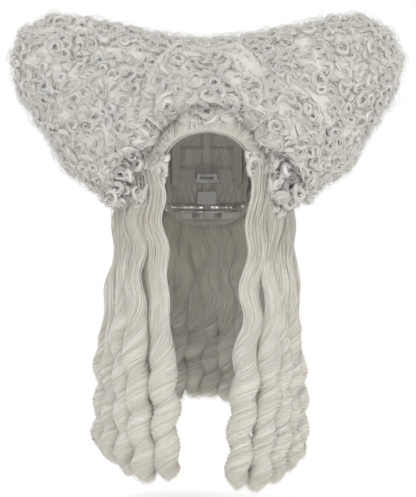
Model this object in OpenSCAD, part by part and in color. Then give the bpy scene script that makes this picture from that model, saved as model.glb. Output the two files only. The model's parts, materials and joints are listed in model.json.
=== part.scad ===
// Horned full-bottomed costume wig: net cap, two padded horns of curled hair, and long ringlets.
// Origin: centre of the head opening, level with the brow. +Z up, the face looks along -Y,
// and the wearer's left is +X.

/* [Head fit] */
// Width inside the cap at its widest, ear to ear
head_w = 152; // [127:1:184]
// Length inside the cap, forehead to back of the head
head_d = 194; // [162:1:234]
// Height inside the cap above the brow line
crown_h = 104; // [87:1:126]

/* [Horns] */
// How far each horn reaches from the middle of the wig
horn_reach = 250; // [208:1:300]
// Height of the horns' highest point above the brow line
horn_rise = 199; // [166:1:240]
// Front-to-back depth of the hair over the crown
hair_depth = 236; // [196:1:284]
// Share of the horn's thickness that the foam pad fills
pad_share = 0.45; // [0.3:0.01:0.5]
// Diameter of the spring wire in the arch between the horns
wire_d = 2; // [1.4:0.1:2.4]

/* [Cap] */
// Thickness of the stretch net
net_t = 0.8; // [0.5:0.1:1.2]
// Thickness of the binding tapes inside the net
tape_t = 1; // [0.6:0.1:1.4]
// Width of the front-to-back rib tapes
tape_w = 10; // [6:1:14]
// Thickness of the sewn head of a weft
weft_t = 1.8; // [1:0.1:2.2]
// Height of the sewn head of a weft
weft_w = 3.5; // [2:0.5:5]

/* [Ringlets] */
// Diameter of a ringlet at its lower end
ringlet_d = 25; // [18:0.5:25.5]
// Diameter of a ringlet where it leaves the cap
root_d = 10; // [8:0.5:14]
// How much lower the ringlets on the wearer's left hang
left_drop = 10; // [0:1:20]
// How far the hanging tips stand towards the wearer's right
sway = 6; // [0:1:12]
// Added to the length of every ringlet
extra_length = 0; // [-60:1:60]

/* [Snap clips] */
// Length of a snap clip
clip_l = 30; // [24:1:36]
// Length of a comb tooth
tooth_l = 13; // [9:1:16]
// Radius of the clip's rivet wire
rivet_r = 0.7; // [0.5:0.05:0.9]

/* [Nape adjuster] */
// Height of the elastic strap
strap_w = 9; // [7:0.5:10]
// Thickness of the elastic strap
strap_t = 1.2; // [0.8:0.1:1.6]
// Height of the middle of the strap, below the brow line
strap_z = -56; // [-60:1:-52]

/* [Hidden] */
gap = 0.4;                       // between pieces that slide on or lie along each other
lay = 0.8;                       // between pieces laid on the net, whose flats lie just inside its curve
run = 0.05;                      // running clearance of a comb on its rivet wire
head = [head_w / 2, head_d / 2, crown_h];
hair_off = net_t + weft_t + lay + gap;   // where padding and hair start outside the net
seam = 0.4;                      // degrees left free between neighbouring hair panels
FINE = 32;

// ---- points on and around the head ----

// Cut line of the net: [azimuth from the forehead, polar angle from the crown].
net_edge = [[0, 64], [25, 68], [42, 78], [54, 96], [66, 110], [76, 106], [86, 93],
            [98, 92], [112, 104], [130, 120], [150, 129], [180, 131]];

function fold(th) = abs(th > 180 ? th - 360 : th < -180 ? th + 360 : th);
function edge(th) = lookup(fold(th), net_edge);
// A point at azimuth th and polar angle ph, o outside the inner face of the net.
function on_head(th, ph, o) =
    [(head.x + o) * sin(ph) * sin(th), -(head.y + o) * sin(ph) * cos(th), (head.z + o) * cos(ph)];
function between(p, q, t) = p + (q - p) * t;

// Outline of the dressed hair, one station per row, as shares of the driving sizes:
// [distance out / reach, top / rise, underside / rise, depth / hair_depth].
stations = [[0, 0.84, -0.35, 1], [0.2, 0.855, -0.33, 0.985], [0.34, 0.895, -0.3, 0.92],
            [0.44, 0.925, -0.25, 0.84], [0.52, 0.95, -0.18, 0.77], [0.64, 0.98, -0.065, 0.67],
            [0.74, 1, 0.02, 0.59], [0.82, 0.99, 0.23, 0.52], [0.88, 0.955, 0.34, 0.46],
            [0.94, 0.89, 0.43, 0.38], [0.98, 0.82, 0.54, 0.27], [1, 0.7, 0.68, 0.02]];
function station(x, column) = lookup(abs(x) / horn_reach, [for (s = stations) [s[0], s[column]]]);
function in_hair(p) =
    let (top = station(p.x, 1) * horn_rise, under = station(p.x, 2) * horn_rise,
         depth = station(p.x, 3) * hair_depth / 2)
    abs(p.x) < horn_reach
    && pow((p.z - (top + under) / 2) / ((top - under) / 2), 2) + pow(p.y / depth, 2) < 1;
// Distance along direction d at which the ray leaves the hair, found by halving.
function hair_reach(d, low = 40, high = 420, steps = 14) =
    steps == 0 ? (low + high) / 2
    : let (mid = (low + high) / 2)
      in_hair(d * mid) ? hair_reach(d, mid, high, steps - 1) : hair_reach(d, low, mid, steps - 1);
least_hair = 16;
function hair_top(th, ph) =
    let (p = on_head(th, ph, hair_off), r = norm(p), d = p / r)
    d * max(hair_reach(d), r + least_hair);
// A point in the hair: share 0 on the cap, share 1 at the outside.
function in_mass(th, ph, ph_out, share) =
    between(on_head(th, ph, hair_off), hair_top(th, ph_out), share);

// ---- closed solids from grids of points ----

function flat(grid) = [for (row = grid) for (p = row) p];
function quad(a, b, c, d) = [[a, b, c], [a, c, d]];
function joined(lists) = [for (l = lists) for (f = l) f];

// A thick sheet between two grids, outer[i][j] and inner[i][j]. i runs with the azimuth, j downwards.
module sheet(outer, inner) {
    m = len(outer) - 1;
    n = len(outer[0]) - 1;
    all = (m + 1) * (n + 1);
    function p(i, j) = i * (n + 1) + j;
    function q(i, j) = all + p(i, j);
    faces = joined(concat(
        [for (i = [0 : m - 1]) for (j = [0 : n - 1])
            quad(p(i, j), p(i + 1, j), p(i + 1, j + 1), p(i, j + 1))],
        [for (i = [0 : m - 1]) for (j = [0 : n - 1])
            quad(q(i, j), q(i, j + 1), q(i + 1, j + 1), q(i + 1, j))],
        [for (i = [0 : m - 1]) quad(p(i + 1, 0), p(i, 0), q(i, 0), q(i + 1, 0))],
        [for (i = [0 : m - 1]) quad(p(i, n), p(i + 1, n), q(i + 1, n), q(i, n))],
        [for (j = [0 : n - 1]) quad(p(0, j), p(0, j + 1), q(0, j + 1), q(0, j))],
        [for (j = [0 : n - 1]) quad(p(m, j + 1), p(m, j), q(m, j), q(m, j + 1))]));
    polyhedron(concat(flat(outer), flat(inner)), faces, convexity = 6);
}

// A thick dome: the same grids, closed round in i, with a flat lid over the first ring.
module dome(outer, inner) {
    m = len(outer);
    n = len(outer[0]) - 1;
    function p(i, j) = (i % m) * (n + 1) + j;
    function q(i, j) = m * (n + 1) + p(i, j);
    faces = concat(
        joined(concat(
            [for (i = [0 : m - 1]) for (j = [0 : n - 1])
                quad(p(i, j), p(i + 1, j), p(i + 1, j + 1), p(i, j + 1))],
            [for (i = [0 : m - 1]) for (j = [0 : n - 1])
                quad(q(i, j), q(i, j + 1), q(i + 1, j + 1), q(i + 1, j))],
            [for (i = [0 : m - 1]) quad(p(i, n), p(i + 1, n), q(i + 1, n), q(i, n))])),
        [[for (i = [m - 1 : -1 : 0]) p(i, 0)], [for (i = [0 : m - 1]) q(i, 0)]]);
    polyhedron(concat(flat(outer), flat(inner)), faces, convexity = 6);
}

// A strip on the head between two azimuths; from and to give the polar angles at an azimuth.
module strip(th0, th1, steps, from, to, low, high, rows = 1) {
    function grid(o) = [for (i = [0 : steps]) let (th = th0 + (th1 - th0) * i / steps)
                        [for (j = [0 : rows]) on_head(th, from(th) + (to(th) - from(th)) * j / rows, o)]];
    sheet(grid(high), grid(low));
}

// A front-to-back strip at distance x from the middle, from angle a0 in front to a1 behind.
module rib(x, a0, a1, low, high, steps = 20) {
    function at(u, a, o) = let (s = sqrt(1 - pow(u / (head.x + o), 2)))
        [u, -(head.y + o) * s * sin(a), (head.z + o) * s * cos(a)];
    function grid(o) = [for (k = [-1, 1])
        [for (j = [0 : steps]) at(x + k * tape_w / 2, a0 + (a1 - a0) * j / steps, o)]];
    sheet(grid(high), grid(low));
}

// ---- the cap ----

around = 44;                     // flats round the net
module crown_net() {
    down = 16;
    top = 3;
    function grid(o) = [for (i = [0 : around - 1]) let (th = 360 * i / around)
                        [for (j = [0 : down]) on_head(th, top + (edge(th) - top) * j / down, o)]];
    color("ivory") dome(grid(net_t), grid(0));
}

band_deg = 7;                    // width of the bands, in degrees of the head
band_end = 48;                   // azimuth where the front band meets the ear tabs
tab_end = 82;                    // azimuth where the ear tab ends
tab_lay = lay + 0.5;             // the cut edge bends sharply here, so the tab lies a little deeper
nape_start = 102;                // azimuth where the nape band starts
function above_edge(th) = edge(th) - band_deg;
function tab_top(th) = min(86, edge(th) - 5);

module front_band() color("wheat")
    strip(-band_end, band_end, 20, function(th) above_edge(th), function(th) edge(th),
          -tape_t - lay, -lay);

module nape_band() color("wheat")
    strip(nape_start, 360 - nape_start, 28, function(th) above_edge(th), function(th) edge(th),
          -tape_t - lay, -lay);

module ear_tab(side) color("wheat")
    for (k = [side])
        strip(k > 0 ? band_end + seam : -tab_end, k > 0 ? tab_end : -band_end - seam, 10,
              function(th) tab_top(th), function(th) edge(th), -tape_t - tab_lay, -tab_lay, 4);

stay_th = 65;                    // azimuth of the stay in each ear tab
stay_half = 1.6;                 // half its width, in degrees
stay_t = 0.8;
module tab_stay(side) color("silver")
    strip(side * stay_th - stay_half, side * stay_th + stay_half, 2,
          function(th) 88, function(th) 107, -tape_t - tab_lay - gap - stay_t,
          -tape_t - tab_lay - gap, 6);

rib_x = 40;                      // distance of the side rib tapes from the middle
module rib_tape(x) color("wheat") rib(x, -102, 54, -tape_t - lay, -lay);
module centre_rib() color("wheat") rib(0, -118, 52, -tape_t - lay, -lay);

// Rows of machine-sewn weft on the outside of the net.
weft_rows = [30, 44, 58, 72, 86];
weft_deg = weft_w / head.z * 57.3;
weft_low = net_t + lay;
weft_high = weft_low + weft_t;
module crown_wefts() color("whitesmoke")
    for (row = weft_rows)
        strip(row > 60 ? 50 : 0.5, row > 60 ? 310 : 359.5, around,
              function(th) min(row, above_edge(th)), function(th) min(row, above_edge(th)) + weft_deg,
              weft_low, weft_high);

// Polar angle of the weft that carries the side ringlets: over the ear, then down behind it.
function side_weft_ph(th) = lookup(fold(th), [[52, 88], [98, 88], [118, 98], [138, 106]]);
module side_weft(side) color("whitesmoke")
    strip(side > 0 ? 52 : -138, side > 0 ? 138 : -52, 18, function(th) side_weft_ph(th),
          function(th) side_weft_ph(th) + weft_deg, weft_low, weft_high);

nape_weft_ph = 116;
module nape_weft() color("whitesmoke")
    strip(136, 224, 12, function(th) nape_weft_ph, function(th) nape_weft_ph + weft_deg,
          weft_low, weft_high);

label_ph = 104;                  // polar angle of the label's sewn edge
label_w = 24;
label_h = 16;
label_leaf = 0.5;                // thickness of each of the folded label's two leaves
label_in = tape_t + lay + 4;     // how far inside the net the label hangs
module size_label() color("white")
    translate([-label_w / 2, head.y * sin(label_ph) - label_in, head.z * cos(label_ph)])
        rotate([-14, 0, 0]) {
            translate([0, 0, -label_h]) cube([label_w, label_leaf, label_h]);
            translate([0, label_leaf + gap, -label_h]) cube([label_w, label_leaf, label_h]);
            cube([label_w, 2 * label_leaf + gap, 0.6]);
        }

// ---- the nape adjuster: elastic straps that slide round the nape ----

nape_s = sqrt(1 - pow((strap_z - strap_w / 2) / crown_h, 2));
nape_r0 = pow(head.x, 2) / head.y * nape_s;      // the nape's radius of curvature
nape_y = head.y * nape_s - nape_r0;              // and the centre of that curve
casing_r = nape_r0 - tape_t - lay - 3 * gap;
strap_r = casing_r - gap;
ladder_half = 22;                // half the ladder's sweep, in degrees
strap_sweep = 34;                // sweep of a strap, in degrees
strap_rest = 16;                 // angle of the strap's end from the middle at rest
module arc(r_out, thick, height, a0, a1)
    translate([0, nape_y, strap_z - height / 2]) rotate([0, 0, 90 + a0])
        rotate_extrude(angle = a1 - a0, $fn = 96) translate([r_out - thick, 0]) square([thick, height]);

// Fills the wedge between the nape band and the straps, so that the straps slide on a true curve.
module strap_casing() {
    sweep = 56;
    steps = 24;
    inside = [for (size = head) size - tape_t - lay - 2 * gap];
    function ray(a, r, z) = [r * sin(a), nape_y + r * cos(a), z];
    // Distance from the nape's centre to the inside of the nape band, at angle a and height z.
    function to_band(a, z) =
        let (s = pow(1 - pow(z / inside.z, 2), 0.5),
             k = pow(sin(a) / inside.x / s, 2) + pow(cos(a) / inside.y / s, 2),
             l = nape_y * cos(a) / pow(inside.y * s, 2),
             m = pow(nape_y / inside.y / s, 2) - 1)
        (-l + sqrt(l * l - k * m)) / k;
    angles = [for (i = [0 : steps]) -sweep + 2 * sweep * i / steps];
    function face(z) = [for (a = angles) ray(a, casing_r, z)];
    function wall(z) = [for (a = angles) ray(a, to_band(a, z), z)];
    heights = [strap_z + strap_w / 2, strap_z - strap_w / 2];
    function turned(rows) = [for (i = [steps : -1 : 0]) [for (row = rows) row[i]]];
    color("wheat") sheet(turned([for (z = heights) wall(z)]), turned([for (z = heights) face(z)]));
}

ladder_t = 1;
slot_w = 1.8;
ladder_r = strap_r - strap_t - gap;
module adjuster_ladder() color("white") difference() {
    arc(ladder_r, ladder_t, strap_w, -ladder_half, ladder_half);
    for (a = [-ladder_half + 7 : 5 : ladder_half - 7])
        translate([0, nape_y, strap_z]) rotate([0, 0, 90 + a])
            translate([ladder_r - 3, -slot_w / 2, -strap_w / 2 + 1.5]) cube([6, slot_w, strap_w - 3]);
}

module adjuster_strap(side) color("ivory")
    arc(strap_r, strap_t, strap_w - 2, side > 0 ? -strap_rest - strap_sweep : strap_rest,
        side > 0 ? -strap_rest : strap_rest + strap_sweep);

hook_t = 0.8;
hook_h = strap_w - 3;
shank_a = [ladder_half + 0.5, ladder_half + 3.5];   // angles the hook's shank fills, past the ladder
hook_tip = 9;                    // angle of the hook's tip from the middle
// A hook sewn to the strap: a shank past the ladder's end and a flat plate inside the ladder.
module adjuster_hook(side) color("silver") {
    plate_r = ladder_r - ladder_t - gap;
    shank_r = strap_r - strap_t - 0.1;
    lo = side > 0 ? -shank_a[1] : hook_tip;
    hi = side > 0 ? -hook_tip : shank_a[1];
    difference() {
        arc(shank_r, shank_r - plate_r + hook_t, hook_h, lo, hi);
        arc(shank_r + 1, shank_r - plate_r + 1, hook_h + 2, side > 0 ? -shank_a[0] : hook_tip - 1,
            side > 0 ? 1 - hook_tip : shank_a[0]);
    }
}

// ---- snap clips ----

clip_t = 0.8;                    // thickness of a clip's steel
lug = 2.4;                       // how far a clip's lugs stand inwards
spine_w = 3.2;
clips = [["left", 30, 50], ["right", -30, 50], ["nape", 180, 96]];   // name, azimuth, polar angle

// Puts a clip on the inside of the cap: z outwards, x down the head, y along the clip.
module on_cap(th, ph, depth) {
    n = [sin(ph) * sin(th) / head.x, -sin(ph) * cos(th) / head.y, cos(ph) / head.z];
    u = n / norm(n);
    translate(on_head(th, ph, 0) - u * depth) rotate([0, acos(u.z), atan2(u.y, u.x)]) children();
}

nape_radius = pow(head.x, 2) / head.y;
// How far inside the net a clip's plate lies: its straight ends have to clear the band or tape.
clip_depth = tape_t + 2 * lay + pow(clip_l / 2, 2) / (2 * nape_radius);
module clip_frame(n) color("silver") on_cap(clips[n][1], clips[n][2], clip_depth) {
    difference() {
        translate([-2.5, -clip_l / 2, -clip_t]) cube([5, clip_l, clip_t]);
        for (y = [-clip_l / 3, 0, clip_l / 3])
            translate([1, y, -clip_t - 1]) cylinder(r = 0.6, h = clip_t + 2, $fn = FINE);
    }
    for (k = [-1, 1])
        translate([-2.5, k * (clip_l / 2 - 0.5) - 0.5, -clip_t - lug]) cube([2.6, 1, lug + 0.1]);
    translate([-1.2, -clip_l / 2 + 0.5, -clip_t - lug + 1.2]) rotate([-90, 0, 0])
        cylinder(r = rivet_r, h = clip_l - 1, $fn = FINE);
}

module clip_comb(n) color("silver") on_cap(clips[n][1], clips[n][2], clip_depth)
    translate([-1.2, 0, -clip_t - lug + 1.2]) {
        barrel_r = rivet_r + run + 0.35;
        barrel_l = 4;
        teeth = 8;
        pitch = (clip_l - 5) / teeth;
        for (k = [-1, 1])
            translate([0, k * (clip_l / 2 - 4) - barrel_l / 2, 0]) difference() {
                union() {
                    rotate([-90, 0, 0]) cylinder(r = barrel_r, h = barrel_l, $fn = FINE);
                    translate([-4, 0, -barrel_r]) cube([4, barrel_l, 0.7]);
                }
                translate([0, -1, 0]) rotate([-90, 0, 0])
                    cylinder(r = rivet_r + run, h = barrel_l + 2, $fn = FINE);
            }
        translate([-4 - spine_w, -clip_l / 2 + 2, -barrel_r]) cube([spine_w + 0.2, clip_l - 4, 0.7]);
        for (k = [0 : teeth - 1])
            translate([-4 - spine_w - tooth_l, -clip_l / 2 + 2.5 + pitch * (k + 0.5) - 0.5, -barrel_r])
                cube([tooth_l + 0.2, 1, 0.7]);
    }

// ---- padding and dressed hair ----

crown_ph = 24;                   // polar angle where the crown panel meets the others
horn_th0 = 42;                   // azimuths between which a horn stands on the cap
horn_th1 = 138;
pad_from = 0.02;
hair_from = pad_share + 0.06;    // the wire arch runs between pad and hair
roll_deg = 8;                    // width of the hairline roll, in degrees of the head
roll_t = 17;                     // how far the roll stands out from the cap
function front_rim(th) = edge(th) - 1.5;
function fringe_rim(th) = front_rim(th) - roll_deg - seam;
// The horns end well above the side weft on the cap and reach down outside it, clear of the ringlets.
function horn_rim(th) = min(front_rim(th), 75);
function horn_rim_out(th) = lookup(fold(th), [[42, 79], [56, 85], [80, 103], [138, 103]]);
function back_rim(th) = min(edge(th) - 14, 111);
// Polar angle at the outside of a horn for a polar angle on the cap: the horns spread as they go down.
function horn_spread(th, ph) =
    let (top = crown_ph + seam)
    ph <= top ? ph : top + (ph - top) * (horn_rim_out(th) - top) / (horn_rim(th) - top);

// One panel of the hair between two azimuths, from share low to share high of its thickness.
// spread gives the polar angle at the outside for a polar angle on the cap.
module panel(th0, th1, steps, rows, rim, spread, low, high) {
    top = crown_ph + seam;
    function grid(share) = [for (i = [0 : steps]) let (th = th0 + (th1 - th0) * i / steps)
        [for (j = [0 : rows]) let (ph = top + (rim(th) - top) * j / rows)
         in_mass(th, ph, spread(th, ph), share)]];
    sheet(grid(high), grid(low));
}
module crown_panel(low, high) {
    around = 28;
    rows = 4;
    top = 3;
    function grid(share) = [for (i = [0 : around - 1]) let (th = 360 * i / around)
        [for (j = [0 : rows]) let (ph = top + (crown_ph - top) * j / rows) in_mass(th, ph, ph, share)]];
    dome(grid(high), grid(low));
}
module horn_panel(side, low, high)
    panel(side > 0 ? horn_th0 + seam : -horn_th1 + seam, side > 0 ? horn_th1 - seam : -horn_th0 - seam,
          16, 11, function(th) horn_rim(th), function(th, ph) horn_spread(th, ph), low, high);

module horn_pad(side) color("gainsboro") horn_panel(side, pad_from, pad_share);
module crown_pad() color("gainsboro") crown_panel(pad_from, pad_share);
module horn_curls(side) color("whitesmoke") horn_panel(side, hair_from, 1);
module crown_curls() color("whitesmoke") crown_panel(hair_from, 1);
module front_curls() color("whitesmoke")
    panel(-horn_th0 + seam, horn_th0 - seam, 12, 6, function(th) fringe_rim(th), function(th, ph) ph,
          pad_from, 1);
module back_curls() color("whitesmoke")
    panel(horn_th1 + seam, 360 - horn_th1 - seam, 12, 10, function(th) back_rim(th),
          function(th, ph) ph, pad_from, 1);
// The first row of hair, swept back over the edge of the cap from temple to temple.
module hairline_roll() {
    steps = 12;
    rows = 3;
    th0 = horn_th0 - seam;
    function grid(o) = [for (i = [0 : steps]) let (th = -th0 + 2 * th0 * i / steps)
        [for (j = [0 : rows]) let (p = on_head(th, front_rim(th) - roll_deg * (1 - j / rows), hair_off))
         p * (1 + o / norm(p))]];
    color("white") sheet(grid(roll_t), grid(lay));
}

// The spring wire arch, swept along the slot between pads and hair.
wire_end = 76;                   // polar angle at which the arch ends in each horn
module horn_wire() {
    steps = 56;
    sides = 8;
    mid = (pad_share + hair_from) / 2;
    line = [for (i = [0 : steps]) let (ph = -wire_end + 2 * wire_end * i / steps)
            in_mass(ph < 0 ? -90 : 90, abs(ph), horn_spread(90, abs(ph)), mid)];
    function way(i) = let (d = line[min(i + 1, steps)] - line[max(i - 1, 0)]) d / norm(d);
    function around(k, up) = cos(360 * k / sides) * up + sin(360 * k / sides) * [0, 1, 0];
    rings = [for (i = [0 : steps]) let (w = way(i), up = [-w.z, 0, w.x])
             [for (k = [0 : sides - 1]) line[i] + wire_d / 2 * around(k, up)]];
    function p(i, k) = i * sides + k % sides;
    faces = concat(
        joined([for (i = [0 : steps - 1]) for (k = [0 : sides - 1])
                quad(p(i, k), p(i + 1, k), p(i + 1, k + 1), p(i, k + 1))]),
        [[for (k = [0 : sides - 1]) p(0, k)], [for (k = [sides - 1 : -1 : 0]) p(steps, k)]]);
    color("dimgray") polyhedron(flat(rings), faces, convexity = 4);
}

// ---- the ringlets ----

// Where each ringlet is sewn to its weft, as an azimuth, and where its tip hangs.
side_roots = [53, 65, 77, 90, 103, 117, 131];
side_tips = [[42, -98, -380], [66, -87, -384], [88.5, -73, -376], [108, -53, -362],
             [120, -27, -350], [117, 4, -344], [96, 37, -332]];
nape_roots = [145, 158, 172];
nape_tips = [[64, 74, -306], [39, 89, -296], [13.2, 96, -290]];
function root_of(th, ph) = on_head(th, ph + weft_deg / 2, weft_high + gap + root_d / 2);

// A ringlet from its root to its tip: a slender cone with round ends. It swings about its root.
module ringlet(root, tip) color("whitesmoke") {
    way = tip - root;
    long = norm(way);
    r = ringlet_d / 2;
    r0 = root_d / 2;
    blunt = 0.7 * r;             // height of the lower end's rounding
    start = [for (a = [90 : -15 : 0]) [r0 * cos(a), -r0 * sin(a)]];
    end = [for (a = [0 : 15 : 90]) [r * cos(a), long - blunt + blunt * sin(a)]];
    translate(root) rotate([0, acos(way.z / long), atan2(way.y, way.x)])
        rotate_extrude($fn = 64) polygon(concat(start, end));
}
module side_ringlet(side, n) {
    tip = side_tips[n - 1] - [0, 0, extra_length + (side > 0 ? left_drop : 0)];
    th = side * side_roots[n - 1];
    ringlet(root_of(th, side_weft_ph(th)), [side * tip.x - sway, tip.y, tip.z]);
}
module nape_ringlet(n) {
    side = n > 3 ? -1 : 1;
    k = n > 3 ? 6 - n : n - 1;
    tip = nape_tips[k] - [0, 0, extra_length];
    ringlet(root_of(side * nape_roots[k], nape_weft_ph), [side * tip.x - sway, tip.y, tip.z]);
}

// ---- the wig ----

crown_net();
front_band();
nape_band();
ear_tab(1);  // left_ear_tab
ear_tab(-1);  // right_ear_tab
tab_stay(1);  // left_tab_stay
tab_stay(-1);  // right_tab_stay
centre_rib();  // centre_rib_tape
rib_tape(rib_x);  // left_rib_tape
rib_tape(-rib_x);  // right_rib_tape
crown_wefts();
side_weft(1);  // left_side_weft
side_weft(-1);  // right_side_weft
nape_weft();
strap_casing();
adjuster_ladder();
adjuster_strap(1);  // left_adjuster_strap
adjuster_strap(-1);  // right_adjuster_strap
adjuster_hook(1);  // left_adjuster_hook
adjuster_hook(-1);  // right_adjuster_hook
for (n = [0 : 2]) {
    clip_frame(n);
    clip_comb(n);
}
size_label();
horn_pad(1);  // left_horn_pad
horn_pad(-1);  // right_horn_pad
crown_pad();
horn_wire();
hairline_roll();
front_curls();
crown_curls();
back_curls();
horn_curls(1);  // left_horn_curls
horn_curls(-1);  // right_horn_curls
for (n = [1 : 7]) {
    side_ringlet(1, n);
    side_ringlet(-1, n);
}
for (n = [1 : 6])
    nape_ringlet(n);
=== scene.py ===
"""Costume wig with two upswept horns of small curls and long twisted ringlets, dressed over its CAD frame.

All lengths are metres in the CAD's own frame: +Z up, the face looks along -Y, the wearer's left is +X.
"""
import json
import logging
import math
from dataclasses import dataclass, field
from enum import Enum

import bpy
import numpy as np
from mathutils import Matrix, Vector
from mathutils.bvhtree import BVHTree


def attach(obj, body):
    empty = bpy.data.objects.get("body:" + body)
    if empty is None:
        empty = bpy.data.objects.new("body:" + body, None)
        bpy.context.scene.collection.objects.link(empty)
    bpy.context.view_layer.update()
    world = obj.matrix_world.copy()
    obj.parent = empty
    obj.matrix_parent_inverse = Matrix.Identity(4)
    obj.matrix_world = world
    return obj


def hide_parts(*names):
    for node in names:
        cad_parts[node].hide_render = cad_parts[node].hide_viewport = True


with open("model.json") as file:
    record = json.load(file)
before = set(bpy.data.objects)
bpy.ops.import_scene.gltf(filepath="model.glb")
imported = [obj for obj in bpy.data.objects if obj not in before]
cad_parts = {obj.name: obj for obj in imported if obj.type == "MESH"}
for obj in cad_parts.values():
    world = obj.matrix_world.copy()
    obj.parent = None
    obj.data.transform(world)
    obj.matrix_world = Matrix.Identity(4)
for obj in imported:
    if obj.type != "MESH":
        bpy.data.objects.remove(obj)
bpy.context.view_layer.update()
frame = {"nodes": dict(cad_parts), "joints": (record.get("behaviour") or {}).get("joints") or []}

LOG = logging.getLogger("wig")
MM = 0.001
TURN = 2 * math.pi
Array = np.ndarray
Triple = tuple[float, float, float]     # a colour, or lengths along X, Y and Z
Pair = tuple[float, float]


# ---- shader graphs ----

class Graph:
    """A node tree with short calls that add nodes and wire them."""

    def __init__(self, tree: bpy.types.NodeTree) -> None:
        """Keeps the tree that the calls below write to."""
        self.tree = tree

    def add(self, kind: str, wires: dict | None = None, **settings: object) -> bpy.types.Node:
        """Adds one node.

        Args:
            kind: the node type without the "ShaderNode" in front.
            wires: for each input, by name or index, the socket to link or the value to set.
            settings: the node's own properties.

        Returns:
            The new node.
        """
        node = self.tree.nodes.new(kind if kind.startswith("Node") else "ShaderNode" + kind)
        for name, value in settings.items():
            setattr(node, name, value)
        self.feed(node, wires or {})
        return node

    def feed(self, node: bpy.types.Node, wires: dict) -> None:
        """Links or sets a node's inputs.

        Args:
            node: the node.
            wires: for each input, by name or index, the socket to link or the value to set.
        """
        for key, value in wires.items():
            if isinstance(value, bpy.types.NodeSocket):
                self.tree.links.new(value, node.inputs[key])
            else:
                node.inputs[key].default_value = value

    def times(self, a: object, b: object) -> bpy.types.NodeSocket:
        """Multiplies two values or sockets."""
        return self.maths("MULTIPLY", a, b)

    def plus(self, a: object, b: object) -> bpy.types.NodeSocket:
        """Adds two values or sockets."""
        return self.maths("ADD", a, b)

    def here(self) -> bpy.types.NodeSocket:
        """The shaded point's place in the object."""
        return self.add("TexCoord").outputs["Object"]

    def noise(self, place: object, scale: object, detail: float) -> bpy.types.NodeSocket:
        """Noise between 0 and 1, at a place, with a scale and octaves of detail."""
        return self.add("TexNoise", {"Vector": place, "Scale": scale, "Detail": detail}).outputs[0]

    def bump(self, height: object, strength: float, depth: float) -> bpy.types.NodeSocket:
        """A normal bent by a height, as strong as strength over a depth in metres."""
        return self.add("Bump", {"Height": height, "Strength": strength, "Distance": depth}).outputs[0]

    def maths(self, operation: str, a: object, b: object = 0.0) -> bpy.types.NodeSocket:
        """Adds a Math node.

        Args:
            operation: Blender's name of the operation.
            a: first value or socket.
            b: second value or socket.

        Returns:
            The result's socket.
        """
        return self.add("Math", {0: a, 1: b}, operation=operation).outputs[0]

    def blend(self, share: object, a: object, b: object, how: str = "MIX") -> bpy.types.NodeSocket:
        """Adds a colour Mix node.

        Args:
            share: how much of b, as a value or socket.
            a: first colour or socket.
            b: second colour or socket.
            how: blend type.

        Returns:
            The mixed colour's socket.
        """
        wires = {0: share, 6: rgba(a), 7: rgba(b)}
        return self.add("Mix", wires, data_type="RGBA", blend_type=how).outputs[2]

    def span(self, value: object, low: float, high: float, to_low: float = 0.0,
             to_high: float = 1.0) -> bpy.types.NodeSocket:
        """Maps low..high to to_low..to_high, clamped.

        Args:
            value: value or socket.
            low: value that gives to_low.
            high: value that gives to_high.
            to_low: result at low.
            to_high: result at high.

        Returns:
            The result's socket.
        """
        wires = {"Value": value, "From Min": low, "From Max": high, "To Min": to_low, "To Max": to_high}
        return self.add("MapRange", wires).outputs[0]


def rgba(colour: object) -> object:
    """Gives a plain colour its alpha, and leaves sockets as they are."""
    return (*colour, 1.0) if isinstance(colour, tuple) and len(colour) == 3 else colour


class Effect:
    """A shader node group shared by several materials, built the first time it is asked for."""

    NAME = "effect"
    INPUTS: tuple[tuple[str, str, object], ...] = ()
    OUTPUTS: tuple[tuple[str, str], ...] = ()

    def tree(self) -> bpy.types.NodeTree:
        """Finds or builds the group.

        Returns:
            The group's node tree.
        """
        made = bpy.data.node_groups.get(self.NAME)
        if made:
            return made
        made = bpy.data.node_groups.new(self.NAME, "ShaderNodeTree")
        for name, kind, value in self.INPUTS:
            socket = made.interface.new_socket(name, in_out="INPUT", socket_type="NodeSocket" + kind)
            socket.default_value = value
        for name, kind in self.OUTPUTS:
            made.interface.new_socket(name, in_out="OUTPUT", socket_type="NodeSocket" + kind)
        graph = Graph(made)
        graph.add("NodeGroupOutput", self.wire(graph, graph.add("NodeGroupInput").outputs))
        return made

    def wire(self, graph: Graph, given: bpy.types.NodeInputs) -> dict:
        """Wires the group's inside.

        Args:
            graph: the group's graph.
            given: the group's input sockets.

        Returns:
            For each output name, its socket.
        """
        raise NotImplementedError

    def place(self, graph: Graph, **values: object) -> bpy.types.NodeOutputs:
        """Puts the group in a material.

        Args:
            graph: the material's graph.
            values: input values or sockets, with _ for spaces in their names.

        Returns:
            The group's outputs.
        """
        wires = {name.replace("_", " "): rgba(value) for name, value in values.items()}
        return graph.add("Group", wires, node_tree=self.tree()).outputs


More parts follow.
